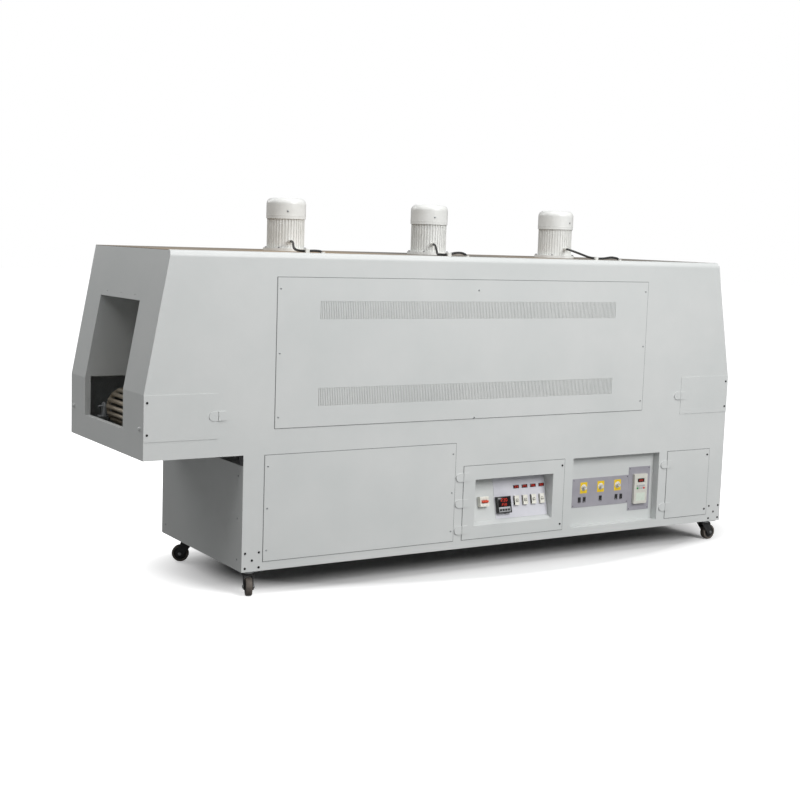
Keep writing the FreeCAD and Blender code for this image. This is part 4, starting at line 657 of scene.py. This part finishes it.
for i in range(KEY_COUNT):
    left = x0 + KEY_LEFT + i * KEY_PITCH
    add_block(keys, (left, y0 + KEY_FOOT, face + KEY_BASE),
              (left + KEY_WIDTH, y0 + KEY_HEAD, face + KEY_PROUD), KEY_EDGE, control)
piece("controller_bezel", rim, black_abs, "control_door")
piece("controller_window", window, dark_acrylic, "control_door")
piece("controller_digits", digits, led_red, "control_door", smooth=False)
piece("controller_keypad", pad, key_grey, "control_door")
piece("controller_keys", keys, black_abs, "control_door")
print("controller", [round(v, 1) for v in (x0, y0, x1, y1, face)])

# %% [markdown]
# A meter is a small red window with two digits in a black bezel, one above each heater switch. A switch has a
# raised rim of its own resin and a dark slot round its lever.

# %% Meters and heater switches
METER_READINGS = ("23", "25", "26", "22")
BEZEL, BEZEL_PROUD, BEZEL_EDGE = 1.6, 1, 0.4
GLASS_PROUD, GLASS_EDGE = 0.5, 0.1
DIGITS_LEFT, DIGITS_FOOT, DIGIT_WIDTH, DIGIT_HEIGHT = -8.5, 3, 7, 9
GUARD, GUARD_PROUD, GUARD_EDGE = 3, 0.8, 0.7
SLOT_HALF, SLOT_RIM, SLOT_PROUD, SLOT_EDGE = Vector((7, 6.5)), 1.4, 0.6, 0.2
bezels, windows, digits, guards, slots = (bmesh.new() for _ in range(5))
breaker_box, *switch_boxes = loose_parts("breaker_bodies", to_plate)
border = Vector((BEZEL, BEZEL))
for reading, (low, high), (base, top) in zip(METER_READINGS, meter_boxes, switch_boxes):
    glass = high.z + GLASS_PROUD
    add_frame(bezels, low.xy, high.xy, BEZEL, (0, high.z + BEZEL_PROUD), BEZEL_EDGE, control)
    add_block(windows, (*(low.xy + border), high.z), (*(high.xy - border), glass), GLASS_EDGE, control)
    left = (low.x + high.x) / 2 + DIGITS_LEFT
    add_digits(digits, reading, left, low.y + DIGITS_FOOT, DIGIT_WIDTH, DIGIT_HEIGHT, glass, control)
    add_frame(guards, base.xy, top.xy, GUARD, (0, top.z + GUARD_PROUD), GUARD_EDGE, control)
    centre = (base.xy + top.xy) / 2
    add_frame(slots, centre - SLOT_HALF, centre + SLOT_HALF, SLOT_RIM, (top.z, top.z + SLOT_PROUD), SLOT_EDGE,
              control)
piece("meter_bezels", bezels, black_abs, "control_door")
piece("meter_windows", windows, red_acrylic, "control_door")
piece("meter_digits", digits, led_red, "control_door", smooth=False)
piece("switch_frames", guards, cream_resin, "control_door")
piece("switch_slots", slots, black_abs, "control_door")
print("meters", len(meter_boxes), "switches", len(switch_boxes))

# %% [markdown]
# The main breaker is three poles side by side under one red lever, so its case has a pair of shoulders for
# each pole and a seam between poles, and the lever has three rounded tabs.

# %% Main breaker
POLES = 3
SHOULDER, SHOULDER_GAP, SHOULDER_SINK, SHOULDER_PROUD, SHOULDER_EDGE = 12, 0.4, 9, 1, 1
SEAM_HALF, SEAM_PROUD = 0.25, 0.2
TAB_HALF, TAB_GAP, TAB_FOOT, TAB_PROUD, TAB_EDGE = 4.5, 0.6, 3.8, 0.7, 1.5
(x0, y0, _), (x1, y1, face) = breaker_box
pole = (x1 - x0) / POLES
shoulders, seams, tabs = (bmesh.new() for _ in range(3))
for i in range(POLES):
    left, right = x0 + i * pole + SHOULDER_GAP, x0 + (i + 1) * pole - SHOULDER_GAP
    for low in (y0, y1 - SHOULDER):
        add_block(shoulders, (left, low, face - SHOULDER_SINK),
                  (right, low + SHOULDER, face + SHOULDER_PROUD), SHOULDER_EDGE, control)
for i in range(1, POLES):
    seam = x0 + i * pole
    add_block(seams, (seam - SEAM_HALF, y0 + SHOULDER, face),
              (seam + SEAM_HALF, y1 - SHOULDER, face + SEAM_PROUD), 0, control)
low, high = loose_parts("breaker_lever", to_plate)[0]
tab = (high.x - low.x) / POLES
heart = (y0 + y1) / 2
for i in range(POLES):
    left, right = low.x + i * tab + TAB_GAP, low.x + (i + 1) * tab - TAB_GAP
    add_block(tabs, (left, heart - TAB_HALF, face + TAB_FOOT), (right, heart + TAB_HALF, high.z + TAB_PROUD),
              TAB_EDGE, control)
piece("breaker_shoulders", shoulders, cream_resin, "control_door")
piece("breaker_seams", seams, black_abs, "control_door")
piece("breaker_tabs", tabs, red_resin, "breaker_lever")
print("pole", round(pole, 1), "mm wide")

# %% [markdown]
# ## The inverter niche
# Three speed knobs turn on yellow printed scales, each over one or two rockers, and the belt's inverter has a
# plate of its own. Each knob gets a ribbed grip and a pointer, so that its turning shows. Scales carry plain
# ticks.

# %% Knobs and their scales
# The share of a scale that lies below its knob's axis is its drop.
SCALE_WIDTH, SCALE_HEIGHT, SCALE_DROP = 42, 53, 0.52
PRINT, DIAL_RADIUS, DIAL_TOP, DIAL_STEPS = 0.25, 15.5, 0.4, 40
TICK_COUNT, TICK_SWEEP = 11, 270
TICK_LOW, TICK_HIGH = (-0.4, 12.8, DIAL_TOP), (0.4, 15, 0.5)
RIB_COUNT, RIB_LOW, RIB_HIGH, RIB_EDGE = 18, (7.4, -0.7, 4.5), (9.1, 0.7, 14.5), 0.4
POINTER_LOW, POINTER_HIGH, POINTER_EDGE = (-0.8, 1, 15.3), (0.8, 7, 15.9), 0.2
plate_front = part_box("niche_plates")[0].y
scale_foot = -SCALE_HEIGHT * SCALE_DROP
scale_low, scale_high = (-SCALE_WIDTH / 2, scale_foot, 0), (SCALE_WIDTH / 2, SCALE_HEIGHT + scale_foot, PRINT)
scales, dials, ticks = (bmesh.new() for _ in range(3))
for k in (1, 2, 3):
    centre = middle(f"fan_knob_{k}")
    spot = facing((centre.x, plate_front, centre.z))
    add_block(scales, scale_low, scale_high, 0, spot)
    disc = [(0, PRINT), (DIAL_RADIUS, PRINT), (DIAL_RADIUS, DIAL_TOP), (0, DIAL_TOP)]
    add_turned(dials, disc, spot, DIAL_STEPS)
    for i in range(TICK_COUNT):
        angle = math.radians(TICK_SWEEP * (i / (TICK_COUNT - 1) - 0.5))
        add_block(ticks, TICK_LOW, TICK_HIGH, 0, spot @ Matrix.Rotation(angle, 4, "Z"))
    ribs, pointer = bmesh.new(), bmesh.new()
    for i in range(RIB_COUNT):
        turn = Matrix.Rotation(math.tau * i / RIB_COUNT, 4, "Z")
        add_block(ribs, RIB_LOW, RIB_HIGH, RIB_EDGE, spot @ turn)
    add_block(pointer, POINTER_LOW, POINTER_HIGH, POINTER_EDGE, spot)
    piece(f"knob_ribs_{k}", ribs, light_abs, f"fan_knob_{k}")
    piece(f"knob_pointer_{k}", pointer, black_abs, f"fan_knob_{k}")
piece("speed_scales", scales, yellow_print, "oven", smooth=False)
piece("speed_dials", dials, white_print, "oven", smooth=False)
piece("speed_ticks", ticks, black_abs, "oven", smooth=False)
print("ticks on a scale", TICK_COUNT)

# %% [markdown]
# A rocker clips into a black frame that stands on its plate, and both plates are held by a small black screw
# at each corner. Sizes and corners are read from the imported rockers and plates.

# %% Rocker frames and plate screws
ROCKER_RIM, ROCKER_PLAY, ROCKER_PROUD, ROCKER_EDGE = 1.6, 0.1, 1.6, 0.4
PLATE_INSET, PLATE_SCREW = 8, 0.5
rims = bmesh.new()
for i in range(1, 6):
    low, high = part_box(f"rocker_{i}")
    centre = middle(f"rocker_{i}")
    spot = facing((centre.x, plate_front, centre.z))
    corner = (high.x - low.x) / 2 / MM + ROCKER_RIM, (high.z - low.z) / 2 / MM + ROCKER_RIM
    border = ROCKER_RIM - ROCKER_PLAY
    add_frame(rims, (-corner[0], -corner[1]), corner, border, (0, ROCKER_PROUD), ROCKER_EDGE, spot)
piece("rocker_frames", rims, black_abs, "oven")
inset = PLATE_INSET * MM
corners = []
for low, high in loose_parts("niche_plates"):
    for x in (low.x + inset, high.x - inset):
        for z in (low.z + inset, high.z - inset):
            corners.append(along((x, plate_front, z), (0, -1, 0)))
heads = bmesh.new()
add_screws(heads, corners, PLATE_SCREW)
piece("plate_screws", heads, black_oxide, "oven")
print("plate screws", len(corners))

# %% [markdown]
# The inverter's face has a raised ledge round its display and keys and a second one round a pale blank label.
# Heights are measured down from the housing's top, because the display and keys sit there.

# %% The inverter's face
DISPLAY_SIDE, DISPLAY_FOOT, DISPLAY_HEAD, DISPLAY_PROUD, DISPLAY_EDGE = 20, 40, 22, 0.8, 0.4
SPEED, SPEED_LEFT, SPEED_FOOT, SPEED_WIDTH, SPEED_HEIGHT = "3500", 26, 36, 5, 9
# Each ledge: side margin, foot, head, border and edge. The label's two feet are measured from below.
KEY_LEDGE_SIDE, KEY_LEDGE_FOOT, KEY_LEDGE_HEAD, KEY_LEDGE, KEY_LEDGE_EDGE = 9, 80, 17, 2, 0.6
LABEL_LEDGE_SIDE, LABEL_LEDGE_FOOT, LABEL_LEDGE_HEAD, LABEL_LEDGE, LABEL_LEDGE_EDGE = 6, 8, 84, 1.5, 0.5
KEY_LEDGE_PROUD, LABEL_LEDGE_PROUD, LEDGE_BASE = 1.4, 1.2, -1
LABEL_SIDE, LABEL_FOOT, LABEL_HEAD, LABEL_PROUD, FILM_BASE = 13, 14, 92, 0.3, -0.5
PANEL_KEYS = {
    "run": (key_green, [(0, 0)]),
    "stop": (key_red, [(3, 0)]),
    "menu": (key_grey, [(1, 0), (2, 0), (0, 1), (1, 1), (2, 1), (3, 1)]),
}
PANEL_KEY, PANEL_KEY_PROUD, PANEL_KEY_EDGE = (11, 9), 1, 0.5
PANEL_KEY_LEFT, PANEL_KEY_FOOT, PANEL_COLUMN, PANEL_ROW = 15, 74, 13.5, 12
low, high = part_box("inverter")
wide, tall = (high.x - low.x) / MM, (high.z - low.z) / MM
spot = facing(low)
window, digits, ledges, label = (bmesh.new() for _ in range(4))
add_block(window, (DISPLAY_SIDE, tall - DISPLAY_FOOT, LEDGE_BASE),
          (wide - DISPLAY_SIDE, tall - DISPLAY_HEAD, DISPLAY_PROUD), DISPLAY_EDGE, spot)
add_digits(digits, SPEED, SPEED_LEFT, tall - SPEED_FOOT, SPEED_WIDTH, SPEED_HEIGHT, DISPLAY_PROUD, spot)
add_frame(ledges, (KEY_LEDGE_SIDE, tall - KEY_LEDGE_FOOT), (wide - KEY_LEDGE_SIDE, tall - KEY_LEDGE_HEAD),
          KEY_LEDGE, (LEDGE_BASE, KEY_LEDGE_PROUD), KEY_LEDGE_EDGE, spot)
add_frame(ledges, (LABEL_LEDGE_SIDE, LABEL_LEDGE_FOOT), (wide - LABEL_LEDGE_SIDE, tall - LABEL_LEDGE_HEAD),
          LABEL_LEDGE, (LEDGE_BASE, LABEL_LEDGE_PROUD), LABEL_LEDGE_EDGE, spot)
add_block(label, (LABEL_SIDE, LABEL_FOOT, FILM_BASE),
          (wide - LABEL_SIDE, tall - LABEL_HEAD, LABEL_PROUD), 0, spot)
piece("inverter_window", window, dark_acrylic, "oven")
piece("inverter_digits", digits, led_red, "oven", smooth=False)
piece("inverter_ledges", ledges, beige_abs, "oven")
for name, (finish, grid) in PANEL_KEYS.items():
    keys = bmesh.new()
    for column, row in grid:
        x, y = PANEL_KEY_LEFT + column * PANEL_COLUMN, tall - PANEL_KEY_FOOT + row * PANEL_ROW
        far_corner = x + PANEL_KEY[0], y + PANEL_KEY[1], PANEL_KEY_PROUD
        add_block(keys, (x, y, FILM_BASE), far_corner, PANEL_KEY_EDGE, spot)
    piece(f"inverter_{name}_keys", keys, finish, "oven")
piece("inverter_label", label, pale_label, "oven", smooth=False)
print("inverter", round(wide), "x", round(tall), "mm")

# %% [markdown]
# ## Fan motors
# Each motor stands on a bolted flange, and its cowl is held by a screw on the side. A low band runs round the
# cowl's rim, where the pressing is rolled over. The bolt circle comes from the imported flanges.

# %% Motor fittings
FLANGE_EDGE, FLANGE_TOP = 7.5, 12
FLANGE_BOLT = [(0, 5), (4, 5), (4.8, 4.2), (4.8, 1.2), (6.5, 1.2), (6.5, 0)]
HEX_STEPS = 6
# Where each cowl's screw sits round its axis, in degrees, and its height above the cowl's rim.
COWL_SCREWS, COWL_SCREW_RISE = (-112, -105, -75), 20
# The rolled rim: points out from the cowl's wall and up from its edge.
COWL_RIM, COWL_STEPS = ((-1, 0), (0.5, 0.3), (0.8, 1.5), (0.5, 2.7), (-1, 3)), 64
cowl_low, cowl_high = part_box("motor_cowls")
body_low, body_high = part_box("motor_bodies")
cowl_radius = (cowl_high.y - cowl_low.y) / 2 / MM
axes = [Vector(joints[f"blower_{k}_spin"]["pos_m"]) for k in (1, 2, 3)]
outer_axes = axes[0].x, axes[2].x
bolt_circle = (body_high.x - body_low.x - max(outer_axes) + min(outer_axes)) / 2 - FLANGE_EDGE * MM
bolts, bands = bmesh.new(), bmesh.new()
for axis, cowl_screw in zip(axes, COWL_SCREWS):
    for quarter in range(4):
        angle = math.radians(45 + 90 * quarter)
        out = Vector((math.cos(angle), math.sin(angle), 0))
        spot = Vector((axis.x, 0, body_low.z + FLANGE_TOP * MM)) + out * bolt_circle
        add_turned(bolts, FLANGE_BOLT, Matrix.Translation(spot), HEX_STEPS)
    side = math.radians(cowl_screw)
    out = Vector((math.cos(side), math.sin(side), 0))
    spot = Vector((axis.x, 0, cowl_low.z + COWL_SCREW_RISE * MM)) + out * cowl_radius * MM
    add_screws(bolts, [along(spot, out)])
    band = [(cowl_radius + beyond, up) for beyond, up in COWL_RIM]
    add_turned(bands, band, Matrix.Translation((axis.x, 0, cowl_low.z)), COWL_STEPS)
piece("motor_bolts", bolts, zinc_plate, "oven")
piece("cowl_rims", bands, motor_enamel, "oven")
print("bolt circle", round(bolt_circle / MM), "mm, cowl", round(cowl_radius), "mm")

# %% [markdown]
# ## Caster wheels
# A wheel is a solid tyre on a moulded core, with a nut on the axle. The roll axis comes from the joint, so
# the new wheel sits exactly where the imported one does.

# %% Tyres, cores and nuts
TYRE = [(27, -13.5), (33.5, -13.5), (36.3, -12), (37.4, -8), (37.5, 0), (37.4, 8), (36.3, 12), (33.5, 13.5),
        (27, 13.5), (27, -13.5)]
CORE = [(5.05, -13.8), (12, -13.8), (13.5, -11), (24, -9.5), (27, -12.5), (27, 12.5), (24, 9.5), (13.5, 11),
        (12, 13.8), (5.05, 13.8), (5.05, -13.8)]
NUT = [(0, 5), (6.5, 5), (8, 3.5), (8, 0), (0, 0)]
TYRE_STEPS, CORE_STEPS, NUT_OUT = 48, 40, 20.2
for i in range(1, 5):
    roll = joints[f"caster_roll_{i}"]
    spot = along(roll["pos_m"], roll["axis"])
    tread, core, nuts = (bmesh.new() for _ in range(3))
    add_turned(tread, TYRE, spot, TYRE_STEPS)
    add_turned(core, CORE, spot, CORE_STEPS)
    for side in (0, math.pi):
        turn = Matrix.Rotation(side, 4, "X")
        add_turned(nuts, NUT, spot @ turn @ Matrix.Translation((0, 0, NUT_OUT * MM)), HEX_STEPS)
    tyre = piece(f"caster_tyre_{i}", tread, tyre_rubber, f"caster_wheel_{i}")
    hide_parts(f"caster_wheel_{i}")
    piece(f"caster_core_{i}", core, black_abs, f"caster_wheel_{i}")
    piece(f"caster_nuts_{i}", nuts, zinc_plate, f"caster_fork_{i}")
    print("caster", i, "axle at", [round(v, 3) for v in roll["pos_m"]])

# %% [markdown]
# ## Studio
# The photograph is a catalogue shot on white, with a soft shadow only near the oven. A plain white floor
# would either show grey all over or light the underside, so the floor reflects like a mid grey, and what the
# camera sees of it fades to white outside an ellipse round the oven.

# %% Floor
FLOOR_SIZE = 40
FLOOR_MIDDLE, FLOOR_REACH = (0.35, 0, 0), (1.45, 0.62, 1)
FLOOR_FADE, FLOOR_GLOW = (0.9, 1.35), (0.0, 1.0)
shape = bmesh.new()
bmesh.ops.create_grid(shape, x_segments=1, y_segments=1, size=FLOOR_SIZE)
mesh = bpy.data.meshes.new("studio_floor")
shape.to_mesh(mesh)
shape.free()
floor = bpy.data.objects.new("studio_floor", mesh)
bpy.context.scene.collection.objects.link(floor)
floor_paint, tree, shader, places = new_material("studio_floor_white", Roughness=0.8)
seen = add_node(tree, "ShaderNodeLightPath").outputs["Is Camera Ray"]
tone = add_node(
    tree, "ShaderNodeMix", {0: seen, 6: linear("#8c8c8c"), 7: linear("#f6f6f6")}, data_type="RGBA"
)
tree.links.new(tone.outputs[2], shader.inputs["Base Color"])
offset = add_node(tree, "ShaderNodeVectorMath", {0: places, 1: FLOOR_MIDDLE}, operation="SUBTRACT")
shares = add_node(
    tree, "ShaderNodeVectorMath", {0: offset.outputs["Vector"], 1: FLOOR_REACH}, operation="DIVIDE"
)
distance = add_node(tree, "ShaderNodeVectorMath", {0: shares.outputs["Vector"]}, operation="LENGTH")
glow = add_node(
    tree, "ShaderNodeMapRange",
    {"Value": distance.outputs["Value"], "From Min": FLOOR_FADE[0], "From Max": FLOOR_FADE[1],
     "To Min": FLOOR_GLOW[0], "To Max": FLOOR_GLOW[1]},
)
shown_glow = add_node(tree, "ShaderNodeMath", {0: glow.outputs["Result"], 1: seen}, operation="MULTIPLY")
tree.links.new(shown_glow.outputs[0], shader.inputs["Emission Strength"])
shader.inputs["Emission Color"].default_value = linear("#ffffff")
mesh.materials.append(floor_paint)
print("floor", 2 * FLOOR_SIZE, "m wide")

# %% [markdown]
# The light is soft and comes from the front right and from above, which leaves the left end in shade. A dim
# white surround fills the shadows, and the camera sees it as pure white. A weak softbox on the left and
# another at the rear keep those sides readable.

# %% Light
SURROUND_LIGHT, SURROUND_SEEN = 0.2, 1.0
world = bpy.data.worlds.new("studio_surround")
bpy.context.scene.world = world
world.use_nodes = True
surround = world.node_tree
surround.nodes.clear()
seen = add_node(surround, "ShaderNodeLightPath").outputs["Is Camera Ray"]
lit = add_node(surround, "ShaderNodeBackground", {"Color": linear("#ffffff"), "Strength": SURROUND_LIGHT})
shown = add_node(surround, "ShaderNodeBackground", {"Color": linear("#ffffff"), "Strength": SURROUND_SEEN})
mixed = add_node(surround, "ShaderNodeMixShader", {0: seen, 1: lit.outputs[0], 2: shown.outputs[0]})
add_node(surround, "ShaderNodeOutputWorld", {"Surface": mixed.outputs[0]})
# Each softbox: its place, the point it aims at, its width in metres and its power in watts.
SOFTBOXES = {
    "key_softbox": ((1.6, -6.0, 4.6), (0, 0, 0.8), 4.0, 400),
    "top_softbox": ((0, -0.6, 5.5), (0, 0, 1), 4.5, 110),
    "end_softbox": ((-4.3, -1.2, 4.9), (-1.4, 0, 1.0), 2.6, 60),
    "rear_softbox": ((-3.2, 4.8, 4.2), (-0.6, 0.2, 0.9), 3.0, 95),
}
for name, (spot, target, width, power) in SOFTBOXES.items():
    lamp = bpy.data.lights.new(name, "AREA")
    lamp.size = width
    lamp.energy = power
    thing = bpy.data.objects.new(name, lamp)
    thing.location = spot
    thing.rotation_euler = (Vector(target) - Vector(spot)).to_track_quat("-Z", "Y").to_euler()
    bpy.context.scene.collection.objects.link(thing)
print("softboxes", len(SOFTBOXES))

# %% [markdown]
# The camera stands where the straight edges of the photograph place it: a fit of its place, heading, pitch,
# roll and lens to those edges gave these values. The plain view transform keeps white as white.

# %% Camera
CAMERA_PLACE = (-3.4913, -5.3366, 1.4707)
HEADING, PITCH, ROLL = math.radians(32.24), math.radians(-6.75), math.radians(1.91)
LENS, SENSOR = 61.93, 36
lens = bpy.data.cameras.new("catalogue_camera")
lens.lens = LENS
lens.sensor_width = SENSOR
camera = bpy.data.objects.new("catalogue_camera", lens)
tilt = Matrix.Rotation(math.pi / 2 + PITCH, 4, "X") @ Matrix.Rotation(ROLL, 4, "Z")
camera.matrix_world = Matrix.Translation(CAMERA_PLACE) @ Matrix.Rotation(-HEADING, 4, "Z") @ tilt
bpy.context.scene.collection.objects.link(camera)
bpy.context.scene.camera = camera
bpy.context.scene.view_settings.view_transform = "Standard"
print("camera", CAMERA_PLACE)
